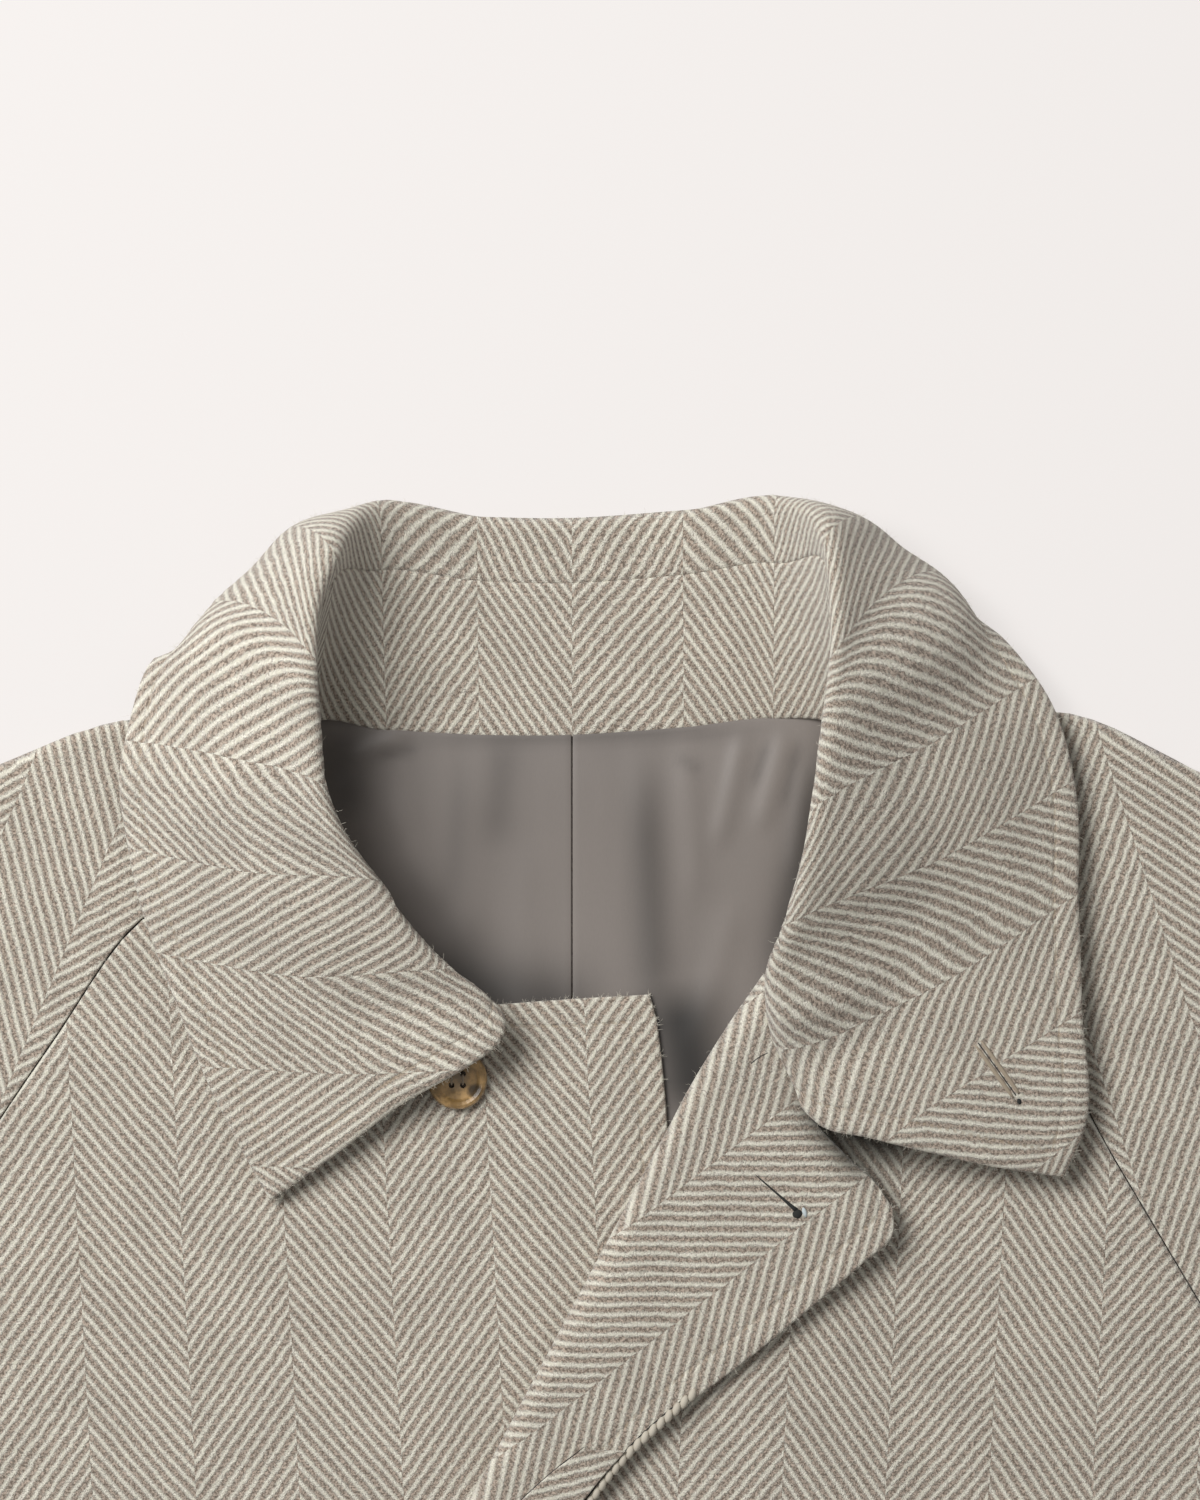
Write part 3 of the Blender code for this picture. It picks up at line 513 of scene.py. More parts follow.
def roll_edge(y):
    """The roll's outermost line, which bends a little towards the neck."""
    knots = [-row[0] for row in ROLL_BEND]
    edge = smooth(knots, [row[1] for row in ROLL_BEND], -np.asarray(y).ravel())
    return edge[:, 0].reshape(np.shape(y))


def roll_top(y):
    knots = [-row[0] for row in ROLL_HEIGHTS]
    return np.interp(-np.asarray(y), knots, [row[1] for row in ROLL_HEIGHTS])


def roll_radius(x, y):
    """Radius of the facing's bend: from under the left front to the top of the roll."""
    low = left_front_height(x, y) - FACING_STEP
    return (roll_top(y) - low) / 2


def lapel_height(x, y, width, layer):
    """Height of a folded-back layer: 0 is the facing, on top, and 1 is the front's own cloth."""
    inset = CLOTH / 2 + layer * FACING_STEP
    distance = roll_place(x, y)[1] - roll_edge(y) - inset
    radius = roll_radius(x, y) - layer * FACING_STEP
    middle = left_front_height(x, y) - FACING_STEP + roll_radius(x, y)
    reach = np.clip(radius - distance, 0, radius)
    top = middle + np.sqrt(np.maximum(radius**2 - reach**2, 0))
    fall = ease((distance - radius) / np.maximum(width - radius, 5.0))
    flat_top = top - fall * np.maximum(roll_top(y) - LAPEL_EDGE_Z, 0)
    return np.where(distance < radius, top, flat_top)


def under_roll_height(x, y, layer):
    """Height of a layer on the body's side of the roll, which curls up to the fold."""
    inset = CLOTH / 2 + layer * FACING_STEP
    distance = roll_place(x, y)[1] - roll_edge(y) - inset
    radius = roll_radius(x, y) - layer * FACING_STEP
    fade = ease((y - BREAK_POINT_Y + 60) / 60)
    reach = np.clip(radius - distance, 0, radius)
    lift = radius - np.sqrt(np.maximum(radius**2 - reach**2, 0))
    base = left_front_height(x, y) - (1 - layer) * FACING_STEP
    return base + lift * fade


def roll_line(rows, layer, end=BREAK_POINT_Y):
    """The fold's own edge in plan, from the neck to the break point, for one layer."""
    inset = CLOTH / 2 + layer * FACING_STEP
    start_y = -79.0
    ys = start_y + (end - start_y) * np.linspace(0, 1, rows + 1) ** 1.15
    points = []
    for y in ys:
        q = float(roll_edge(np.array([y]))[0]) + inset
        down = (ROLL_START[1] + q * ROLL_NORMAL[1] - y) / -ROLL_DIRECTION[1]
        points.append(ROLL_START + q * ROLL_NORMAL + down * ROLL_DIRECTION)
    return np.array(points)


def coons(left, right, top, bottom):
    """A sheet between four edges in plan. left and right run down, top and bottom across."""
    left, right, top, bottom = (np.asarray(edge, float) for edge in (left, right, top, bottom))
    rows, columns = len(left), len(top)
    v = np.linspace(0, 1, rows)[:, None, None]
    u = np.linspace(0, 1, columns)[None, :, None]
    across = (1 - u) * left[:, None] + u * right[:, None]
    down = (1 - v) * top[None] + v * bottom[None]
    corners = (1 - u) * (1 - v) * left[0] + u * (1 - v) * right[0]
    corners = corners + (1 - u) * v * left[-1] + u * v * right[-1]
    return across + down - corners


def straight(start, end, count):
    f = np.linspace(0, 1, count)[:, None]
    return (1 - f) * np.asarray(start, float) + f * np.asarray(end, float)


def raised(plan, height):
    """A plan grid with its heights."""
    x, y = plan[..., 0], plan[..., 1]
    return np.concatenate((plan, np.asarray(height(x, y))[..., None]), axis=-1)


def seam_rows(sections, column, sign):
    """A raglan seam from the neck to the armpit, moved a gap to the body's side."""
    knots, values = table(sections, column)
    points = smooth(knots, values, RAGLAN_ROWS)
    points[:, 0] -= sign * SEAM_GAP
    points[:, 1] -= SEAM_GAP
    return points


def side_rows(sign):
    """The side seam below the armpit, down to the hem."""
    knots = [ARMPIT_ROW] + [row[0] for row in SIDE_SEAM]
    values = [(sign * ARMPIT[0], ARMPIT[1] - 1)]
    values += [(sign * point[0], point[1]) for _, point in SIDE_SEAM]
    return smooth(knots, values, SIDE_ROWS)


def edge_rows(edge):
    """A front's edge, row by row like the seam on its other side."""
    knots, values = table(edge, 1)
    return smooth(knots, values, RAGLAN_ROWS + SIDE_ROWS)


def right_front_grid(columns=60):
    seam = np.concatenate((seam_rows(SLEEVE_SECTIONS_RIGHT_ARM, 2, -1), side_rows(-1)))
    edge = edge_rows(RIGHT_FRONT_EDGE)
    neck = ((seam[0, 0], seam[0, 1]), (-92, -77), (-62, -91), (-28, -89.5), (0, -87.5), (26, -86))
    top = along(neck, np.linspace(0, 1, columns + 1))
    hem = straight(seam[-1], edge[-1], columns + 1)
    return raised(coons(seam, edge, top, hem), front_height)


def left_front_grids(lapel_columns=30, body_columns=60):
    """The left front in two joined sheets: the body's side of the fold, and the folded lapel."""
    seam = np.concatenate((seam_rows(SLEEVE_SECTIONS_LEFT_ARM, 2, 1), side_rows(1)))
    fold = roll_line(len(RAGLAN_ROWS) - 1, 1)
    edge_values = [tuple(fold[-1])] + [point for _, point in LEFT_FRONT_EDGE_BELOW_ROLL]
    below = smooth([7, 8, 9, 10, 11], edge_values, SIDE_ROWS)
    left = np.concatenate((fold, below))
    neck = (tuple(left[0]), (80, -80.5), (93, -73), tuple(seam[0]))
    top = along(neck, np.linspace(0, 1, body_columns + 1))
    hem = straight(left[-1], seam[-1], body_columns + 1)
    plan = coons(left, seam, top, hem)
    plan = near_fold(plan, 0.3, 1.0)
    body = raised(plan, lambda x, y: under_roll_height(x, y, 1))
    return body, lapel_grid(1, fold, lapel_columns)


def near_fold(plan, first, second, radius=3.2):
    """Adds two lines close to the sheet's left edge, where it bends round the fold."""
    step = plan[:, 1] - plan[:, 0]
    length = np.linalg.norm(step, axis=1, keepdims=True)
    unit = step / np.maximum(length, 1e-6)
    near = plan[:, 0] + unit * np.minimum(first * radius, 0.25 * length)
    far = plan[:, 0] + unit * np.minimum(second * radius, 0.6 * length)
    return np.concatenate((plan[:, :1], near[:, None], far[:, None], plan[:, 1:]), axis=1)


def lapel_grid(layer, fold, columns):
    """The folded-back part of one layer, between the fold and the lapel's outer edge."""
    rows = len(fold) - 1
    outer = along(LAPEL_OUTER + (tuple(fold[-1]),), np.linspace(0, 1, rows + 1))
    top = along((tuple(fold[0]),) + LAPEL_TOP[1:], np.linspace(0, 1, columns + 1))
    bottom = np.repeat(fold[-1:], columns + 1, axis=0)
    plan = near_fold(coons(fold, outer, top, bottom), 0.3, 1.0)
    width = np.linalg.norm(plan[:, -1] - plan[:, 0], axis=1)[:, None] + np.zeros(plan.shape[:2])
    return raised(plan, lambda x, y: lapel_height(x, y, width, layer))


def facing_grids(columns=50, hidden=16.0):
    """The facing: what shows on the lapel, and a short hidden return round the fold."""
    fold = roll_line(len(RAGLAN_ROWS) - 1, 0)
    lapel = lapel_grid(0, fold, columns)
    inner = fold + ROLL_NORMAL * hidden
    under = coons(fold, inner, straight(fold[0], inner[0], 3), straight(fold[-1], inner[-1], 3))
    under = near_fold(under, 0.4, 1.4)
    return raised(under, lambda x, y: under_roll_height(x, y, 0)), lapel


def fly_grid(rows=30, columns=12):
    """The top of the concealed fly, which lies on the facing."""
    fractions = np.linspace(0, 1, rows + 1)
    inner, outer = along(FLY_INNER, fractions), along(FLY_OUTER, fractions)
    plan = coons(inner, outer, straight(inner[0], outer[0], columns + 1),
                 straight(inner[-1], outer[-1], columns + 1))
    lift = CLOTH / 2 + SEAM_GAP + FLY_CLOTH / 2
    return raised(plan, lambda x, y: lapel_height(x, y, LAPEL_WIDTH_AT_FLY, 0) + lift)


def back_grid(columns=40):
    right = np.concatenate((seam_rows(SLEEVE_SECTIONS_RIGHT_ARM, 3, -1), side_rows(-1)))
    left = np.concatenate((seam_rows(SLEEVE_SECTIONS_LEFT_ARM, 3, 1), side_rows(1)))
    neck = (tuple(right[0]), (-60, 1), (-31, -0.7), (0, -0.7), (37.3, 1.8), (60, 4), tuple(left[0]))
    top = along(neck, np.linspace(0, 1, columns + 1))
    hem = straight(right[-1], left[-1], columns + 1)
    return raised(coons(right, left, top, hem), lambda x, y: BACK_Z + neck_rise(x, y))


def distance_to(x, y, start, end):
    """Each place's distance from a line, and how far along the line it is, from 0 to 1."""
    line = np.subtract(end, start)
    share = np.clip(((x - start[0]) * line[0] + (y - start[1]) * line[1]) / (line @ line), 0, 1)
    return np.hypot(x - start[0] - share * line[0], y - start[1] - share * line[1]), share


def lining_waves(x, y):
    """Soft ridges where the loose lining has folded."""
    rise = np.zeros(np.shape(x))
    for start, end, height, width in LINING_WAVES:
        distance, share = distance_to(x, y, start, end)
        ends = ease(np.minimum(share, 1 - share) / 0.25)
        rise += WAVE_SHARE * height * ends * np.exp(-((distance / width) ** 2))
    return rise


def hollow_shade(x, y, hollows):
    """How dark a piece's hollows are, from 0 to 1."""
    light = np.ones(np.shape(x))
    for start, end, width, strength in hollows:
        distance, share = distance_to(x, y, start, end)
        ends = ease(0.2 + np.minimum(share, 1 - share) / 0.4)
        light *= 1 - strength * ends * np.exp(-((distance / width) ** 2))
    return 1 - light


def lining_grid(half, rows=90, columns=50):
    """One half of the back lining, as far down as the neck opening shows it and a little further."""
    top, outer = LINING_EDGES[half]
    shares = np.linspace(0, 1, rows + 1) ** 1.6
    centre_x, top_y = top[0]
    centre = np.stack((np.full(rows + 1, centre_x), top_y + shares * (outer[-1][1] - top_y)), axis=-1)
    side = along(outer, shares)
    plan = coons(centre, side, along(top, np.linspace(0, 1, columns + 1)),
                 straight(centre[-1], side[-1], columns + 1))
    plan[..., 1] += LINING_UNDER_STAND * ease((plan[..., 1] + 14) / 10)
    return raised(plan, lambda x, y: BACK_Z + LINING_STEP + neck_rise(x, y) + lining_waves(x, y))


def sleeve_grid(sections, layer_columns=30, bend_columns=8):
    """A flattened tube: the front layer, the overarm fold and the back layer, closed under the arm."""
    grid = []
    bend = LAYER_STEP / 2
    for row in RAGLAN_ROWS + ARM_ROWS:
        fold, front, back = (smooth(*table(sections, part), row)[0] for part in (1, 2, 3))
        closed = float(ease((row - ARMPIT_ROW + 0.5) / 1.0))
        line = []
        for seam, base, turn in ((front, FRONT_Z, -1), (back, BACK_Z, 1)):
            inward = fold - seam
            inward = inward / np.linalg.norm(inward)
            places = []
            for angle in np.linspace(0, math.pi / 2, 3):
                out = bend * (1 - math.sin(angle)) * closed
                drop = (bend - SEAM_GAP / 2) * math.cos(angle) * closed
                places.append((seam + inward * (bend - out) * closed, base + turn * drop))
            last = seam + inward * bend * max(closed, 0.3)
            flat_end = fold - inward * bend
            for f in np.linspace(0, 1, layer_columns + 1)[1:]:
                places.append((last + f * (flat_end - last), base))
            line.append(places)
        front_places, back_places = line
        middle = (FRONT_Z + BACK_Z) / 2
        inward_front = (fold - front) / np.linalg.norm(fold - front)
        turn_places = []
        for angle in np.linspace(0, math.pi, bend_columns + 1)[1:-1]:
            place = fold - inward_front * bend * (1 - math.sin(angle))
            turn_places.append((place, middle + bend * math.cos(angle)))
        places = front_places + turn_places + back_places[::-1]
        grid.append([(p[0], p[1], z + neck_rise(p[0], p[1])) for p, z in places])
    return np.array(grid, float)


# Pieces made finer than the solids, with rounded edges and sunk topstitch

def border_distances(thickness, stitched):
    """Distances from one border at which a sheet gets a line of points."""
    near = [share * thickness for share in ROUND_SHARES]
    if stitched:
        near += [TOPSTITCH_INSET + offset for offset in TROUGH_OFFSETS]
    return np.array(near)


def with_border_lines(grid, extra, start, end):
    """Adds lines of points near the first and last line of a grid. extra holds values to carry along."""
    both = np.concatenate((grid, extra), axis=-1)
    lengths = np.linalg.norm(np.diff(grid, axis=1), axis=2)
    knots = np.concatenate((np.zeros((len(grid), 1)), np.cumsum(lengths, axis=1)), axis=1)
    middle_count = grid.shape[1]
    lines = []
    places = []
    for row in range(len(grid)):
        total = max(knots[row, -1], 1e-6)
        scale = min(1.0, 0.45 * total / max(start[-1], end[-1]))
        first, last = start * scale, total - end[::-1] * scale
        middle = np.linspace(first[-1], last[0], middle_count)[1:-1]
        at = np.concatenate((first, middle, last))
        line = [np.interp(at, knots[row], both[row, :, part]) for part in range(both.shape[2])]
        lines.append(np.stack(line, axis=-1))
        places.append(np.stack((at, total - at), axis=-1))
    lines = np.array(lines)
    return lines[..., :3], lines[..., 3:], np.array(places)


def fine_sheet(grid, values, thickness, stitched):
    """A grid with lines added near its borders, and each point's distance to the borders.

    stitched names the borders with topstitch: left, right, top and bottom are the grid's own sides.
    """
    left, right, top, bottom = (border_distances(thickness, side in stitched) for side in SIDES)
    grid, values, across = with_border_lines(grid, values, left, right)
    values = np.concatenate((values, across), axis=-1)
    turned = with_border_lines(grid.swapaxes(0, 1), values.swapaxes(0, 1), top, bottom)
    grid, values, down = (part.swapaxes(0, 1) for part in turned)
    distances = dict(zip(SIDES, (values[..., -2], values[..., -1], down[..., 0], down[..., 1])))
    nearest = np.min(list(distances.values()), axis=0)
    stitch = [distances[side] for side in stitched]
    stitch = np.min(stitch, axis=0) if stitch else np.full(nearest.shape, FAR_FROM_STITCH)
    return grid, values[..., :-2], nearest, stitch


def grid_normals(grid):
    down, across = np.gradient(grid, axis=0), np.gradient(grid, axis=1)
    normal = np.cross(down, across)
    length = np.linalg.norm(normal, axis=-1, keepdims=True)
    return normal / np.maximum(length, 1e-9)


def new_piece(name, mesh, material):
    """Puts a mesh into the scene."""
    mesh.materials.append(material)
    piece = bpy.data.objects.new(name, mesh)
    bpy.context.scene.collection.objects.link(piece)
    return piece


def keep_values(mesh, name, values):
    """Keeps a number for each point of a mesh, for its material."""
    layer = mesh.attributes.new(name, "FLOAT", "POINT")
    layer.data.foreach_set("value", np.asarray(values, np.float32).ravel())


def build_shell(name, grid, cloth_uv, thickness, material, stitched=(), upward=1, puff=0.0):
    """A closed sheet of cloth with rounded borders. cloth_uv is each point's place in the cloth."""
    grid, uv, nearest, stitch = fine_sheet(grid, cloth_uv, thickness, stitched)
    normal = grid_normals(grid) * upward
    reach = np.clip(nearest / (ROUND_SHARES[-1] * thickness), 0, 1)
    half = thickness / 2 * np.sqrt(1 - (1 - reach) ** 2)
    sunk = TROUGH_DEPTH * np.exp(-((stitch - TOPSTITCH_INSET) / TROUGH_WIDTH) ** 2)
    rim = puff * np.exp(-((stitch - TOPSTITCH_INSET / 2) / (TOPSTITCH_INSET / 3)) ** 2)
    top = grid + normal * (half - (sunk - rim) * reach)[..., None]
    bottom = grid - normal * (half - sunk * reach / 2)[..., None]
    rows, columns = grid.shape[:2]
    count = rows * columns
    points = np.concatenate((top.reshape(-1, 3), bottom.reshape(-1, 3))) * MM
    index = np.arange(count).reshape(rows, columns)
    a, b, c, d = index[:-1, :-1], index[:-1, 1:], index[1:, 1:], index[1:, :-1]
    upper = np.stack((a, d, c, b), axis=-1).reshape(-1, 4)
    lower = np.stack((a, b, c, d), axis=-1).reshape(-1, 4) + count
    if upward < 0:
        upper, lower = upper[:, ::-1], lower[:, ::-1]
    mesh = bpy.data.meshes.new(name)
    mesh.from_pydata(points.tolist(), [], np.concatenate((upper, lower)).tolist())
    corner_points = np.zeros(len(mesh.loops), np.int32)
    mesh.loops.foreach_get("vertex_index", corner_points)
    flat_uv = np.concatenate((uv.reshape(-1, 2), uv.reshape(-1, 2)))
    layer = mesh.uv_layers.new(name="Cloth")
    layer.data.foreach_set("uv", flat_uv[corner_points].astype(np.float32).ravel())
    keep_values(mesh, "stitch_mm", np.concatenate((stitch, stitch)))
    shape = bmesh.new()
    shape.from_mesh(mesh)
    bmesh.ops.remove_doubles(shape, verts=shape.verts, dist=WELD_DISTANCE)
    shape.to_mesh(mesh)
    shape.free()
    mesh.shade_smooth()
    return new_piece(name, mesh, material)


def build_joined(name, grids, uvs, thickness, material):
    """A sheet made from joined grids, given its thickness by a modifier."""
    shape = bmesh.new()
    layer = shape.loops.layers.uv.new("Cloth")
    for grid, uv in zip(grids, uvs):
        rows, columns = grid.shape[:2]
        points = [[shape.verts.new(point * MM) for point in line] for line in grid]
        for r in range(rows - 1):
            for c in range(columns - 1):
                places = ((r, c), (r, c + 1), (r + 1, c + 1), (r + 1, c))
                face = shape.faces.new([points[i][j] for i, j in places])
                for loop, (i, j) in zip(face.loops, places):
                    loop[layer].uv = uv[i, j]
    bmesh.ops.remove_doubles(shape, verts=shape.verts, dist=WELD_DISTANCE)
    bmesh.ops.recalc_face_normals(shape, faces=shape.faces)
    mesh = bpy.data.meshes.new(name)
    shape.to_mesh(mesh)
    shape.free()
    keep_values(mesh, "stitch_mm", np.full(len(mesh.vertices), FAR_FROM_STITCH))
    mesh.shade_smooth()
    piece = new_piece(name, mesh, material)
    wall = piece.modifiers.new("Cloth thickness", "SOLIDIFY")
    wall.thickness = thickness * MM
    wall.offset = 0
    return piece


def grain_uv(grid, piece):
    """Each point's place in the cloth: across the grain and along it, in mm."""
    origin, up, column = GRAINS[piece]
    up = np.array(up) / np.linalg.norm(up)
    across = np.array((up[1], -up[0]))
    offset = grid[..., :2] - np.array(origin)
    return np.stack((offset @ across + column * COLUMN, offset @ up), axis=-1)


def collar_uv(columns, shares, on_fall):
    """Places in the collar's cloth: its own column number across, and the length along each section.

    The lengths start so that the weave stays square to the sections along one line of the collar.
    """
    first, last = (2, 3) if on_fall else (0, 1)
    places, courses, starts, spans = [], [], [], []
    every = np.linspace(COLLAR_SECTIONS[0][0], COLLAR_SECTIONS[-1][0], UV_SECTIONS)
    for column in every:
        marks = np.array(collar_section(column))
        steps = np.maximum(np.linalg.norm(np.diff(marks, axis=0), axis=1), 0.5)
        knots = np.concatenate(([0.0], np.cumsum(steps)))
        middle = (knots[first] + knots[last]) / 2
        before, after = smooth(knots, marks, (middle - 0.5, middle + 0.5))
        places.append((before + after) / 2)
        courses.append((after - before) / np.linalg.norm(after - before))
        starts.append(middle)
        spans.append((knots[1], knots[-1]))
    places, courses, spans = np.array(places), np.array(courses), np.array(spans)
    moves = np.diff(places, axis=0)
    gained = np.cumsum((moves * (courses[1:] + courses[:-1]) / 2).sum(axis=1))
    offset = np.concatenate(([0.0], gained)) - np.array(starts)
    offset -= np.interp(0.0, every, offset)
    seam = np.interp(columns, every, spans[:, 0])
    end = np.interp(columns, every, spans[:, 1])
    length = seam + (end - seam) * shares if on_fall else seam * shares
    return np.stack((columns * COLUMN, length + np.interp(columns, every, offset)), axis=-1)


# Materials

class Nodes:
    """Small helper that adds and links shader nodes."""

    def __init__(self, tree):
        self.tree = tree

    def add(self, kind, **settings):
        node = self.tree.nodes.new(kind)
        for name, value in settings.items():
            setattr(node, name, value)
        return node

    def put(self, socket, value):
        if isinstance(value, bpy.types.NodeSocket):
            self.tree.links.new(value, socket)
        else:
            socket.default_value = value

    def math(self, operation, *values):
        node = self.add("ShaderNodeMath", operation=operation)
        for socket, value in zip(node.inputs, values):
            self.put(socket, value)
        return node.outputs[0]

    def noise(self, vector, scale, detail=2.0, roughness=0.5):
        node = self.add("ShaderNodeTexNoise")
        self.put(node.inputs["Vector"], vector)
        node.inputs["Scale"].default_value = scale
        node.inputs["Detail"].default_value = detail
        node.inputs["Roughness"].default_value = roughness
        return node.outputs["Fac"]

    def sway(self, noise, width):
        """A noise moved to run about 0, by half the width to each side."""
        return self.math("MULTIPLY_ADD", noise, width, -width / 2)

    def near(self, place, centre, inner, outer, strength):
        """The strength inside a radius round a centre in mm, and less and less up to the outer one."""
        node = self.add("ShaderNodeVectorMath", operation="DISTANCE")
        self.put(node.inputs[0], place)
        node.inputs[1].default_value = [part * MM for part in centre]
        return self.ramp(node.outputs["Value"], inner * MM, outer * MM, strength, 0.0)

    def attribute(self, name):
        return self.add("ShaderNodeAttribute", attribute_name=name).outputs["Fac"]

    def bump(self, height, strength, distance):
        node = self.add("ShaderNodeBump")
        node.inputs["Strength"].default_value = strength
        node.inputs["Distance"].default_value = distance
        self.put(node.inputs["Height"], height)
        return node.outputs["Normal"]

    def ramp(self, value, low, high, to_low=0.0, to_high=1.0):
        node = self.add("ShaderNodeMapRange", interpolation_type="SMOOTHSTEP")
        for socket, part in zip(node.inputs, (value, low, high, to_low, to_high)):
            self.put(socket, part)
        return node.outputs[0]

    def mix(self, factor, first, second, blend="MIX"):
        node = self.add("ShaderNodeMix", data_type="RGBA", blend_type=blend)
        self.put(node.inputs[0], factor)
        self.put(node.inputs[6], first)
        self.put(node.inputs[7], second)
        return node.outputs[2]


def new_group(name, inputs, outputs):
    group = bpy.data.node_groups.new(name, "ShaderNodeTree")
    for socket_name, kind, default in inputs:
        socket = group.interface.new_socket(socket_name, in_out="INPUT", socket_type=kind)
        if default is not None:
            socket.default_value = default
    for socket_name, kind in outputs:
        group.interface.new_socket(socket_name, in_out="OUTPUT", socket_type=kind)
    nodes = Nodes(group)
    return group, nodes, nodes.add("NodeGroupInput"), nodes.add("NodeGroupOutput")


def herringbone_group(sizes):
    """The cloth: broken herringbone in cream on a mottled ground, and a sunk line where it is stitched."""
    group, n, given, result = new_group(
        "Herringbone wool",
        (("Place in cloth", "NodeSocketVector", None),
         ("Distance to edge", "NodeSocketFloat", FAR_FROM_STITCH),
         ("Cream", "NodeSocketColor", None), ("Ground", "NodeSocketColor", None),
         ("Speck", "NodeSocketColor", None)),
        (("Color", "NodeSocketColor"), ("Height", "NodeSocketFloat")))
    place = given.outputs["Place in cloth"]
    split = n.add("ShaderNodeSeparateXYZ")
    n.put(split.inputs[0], place)
    # The weave wanders a little, in mm
    slow = n.noise(place, SLOW_NOISE)
    wobble = n.noise(place, WOBBLE_NOISE)
    u = n.math("ADD", split.outputs[0], n.sway(wobble, 1.0))
    v = n.math("ADD", split.outputs[1], n.sway(slow, 2.4))
    v = n.math("ADD", v, n.sway(wobble, -1.0))
    # Slanted lines, which turn back and shift by half a line at each column
    width = sizes.column_width / MM
    column = n.math("FLOOR", n.math("DIVIDE", u, width))
    in_column = n.math("SUBTRACT", u, n.math("MULTIPLY", n.math("ADD", column, 0.5), width))
    half = n.math("MULTIPLY", column, 0.5)
    sign = n.math("SUBTRACT", n.math("MULTIPLY", n.math("FRACT", half), 4.0), 1.0)
    slant = n.math("MULTIPLY", n.math("MULTIPLY", in_column, sign), MM / sizes.pitch_across)
    phase = n.math("ADD", n.math("ADD", slant, half), n.math("MULTIPLY", v, MM / sizes.pitch_along))
    wave = n.math("COSINE", n.math("MULTIPLY", phase, 2 * math.pi))
    # Ragged edges of the lines, dull places in the cream, and pale and dark fibres in the ground
    fuzz = n.noise(place, FUZZ_NOISE, 3.0, 0.6)
    fine = n.noise(place, FINE_NOISE, 3.0, 0.65)
    ragged = n.math("ADD", n.sway(fuzz, 3.6), n.sway(fine, 3.6))
    cream = n.ramp(n.math("ADD", wave, ragged), -0.75, 1.15)
    cream_tone = n.mix(n.ramp(fuzz, 0.38, 0.62), given.outputs["Cream"], DULL_CREAM)
    mottle = n.ramp(n.noise(place, MOTTLE_NOISE, 3.0, 0.7), 0.38, 0.6)
    ground = n.mix(mottle, given.outputs["Ground"], PALE_GROUND)
    specks = n.ramp(n.noise(place, SPECK_NOISE, 3.0, 0.75), 0.48, 0.55, 0.0, 0.95)
    ground = n.mix(specks, ground, given.outputs["Speck"])
    color = n.mix(cream, ground, cream_tone)
    color = n.mix(1.0, color, n.ramp(slow, 0.35, 0.65, 0.96, 1.04), "MULTIPLY")
    # The topstitch: a sunk line with a stitch at each step along it
    distance = given.outputs["Distance to edge"]
    off_line = n.math("ABSOLUTE", n.math("SUBTRACT", distance, sizes.topstitch_inset / MM))
    line = n.ramp(off_line, 0.2, 0.9, 1.0, 0.0)
    step = n.math("SINE", n.math("MULTIPLY", n.math("ADD", split.outputs[0], split.outputs[1]), 1.9))
    stitch = n.math("MULTIPLY", line, n.ramp(step, -0.4, 0.5))
    color = n.mix(n.math("MULTIPLY", stitch, 0.5), color, STITCH_COLOUR)
    height = n.math("ADD", n.math("MULTIPLY", cream, 0.6), n.math("MULTIPLY", fine, 0.5))
    height = n.math("ADD", height, n.math("MULTIPLY", fuzz, 0.4))
    height = n.math("SUBTRACT", height, n.math("MULTIPLY", line, 0.3))
    n.put(result.inputs["Color"], color)
    n.put(result.inputs["Height"], height)
    return group


def principled(name, viewport, settings):
    """A material with these settings of its shader."""
    material = bpy.data.materials.new(name)
    material.use_nodes = True
    material.diffuse_color = (*viewport, 1)
    shader = material.node_tree.nodes["Principled BSDF"]
    for key, value in settings.items():
        shader.inputs[key].default_value = value
    return material, Nodes(material.node_tree), shader


def wool_material(sizes):
    material, n, shader = principled("Herringbone wool", sizes.ground_colour, {
        "Roughness": 0.95, "Sheen Weight": 0.35, "Sheen Roughness": 0.6, "Specular IOR Level": 0.15})
    group = n.add("ShaderNodeGroup", node_tree=herringbone_group(sizes))
    cloth = n.add("ShaderNodeUVMap", uv_map="Cloth")
    n.put(group.inputs["Place in cloth"], cloth.outputs["UV"])
    n.put(group.inputs["Distance to edge"], n.attribute("stitch_mm"))
    group.inputs["Cream"].default_value = (*sizes.cream_colour, 1)
    group.inputs["Ground"].default_value = (*sizes.ground_colour, 1)
    group.inputs["Speck"].default_value = (*sizes.speck_colour, 1)
    color = n.mix(n.attribute("hollow_shade"), group.outputs["Color"], WOOL_SHADE)
    n.put(shader.inputs["Base Color"], color)
    n.put(shader.inputs["Normal"], n.bump(group.outputs["Height"], 0.8, sizes.nap_depth))
    return material


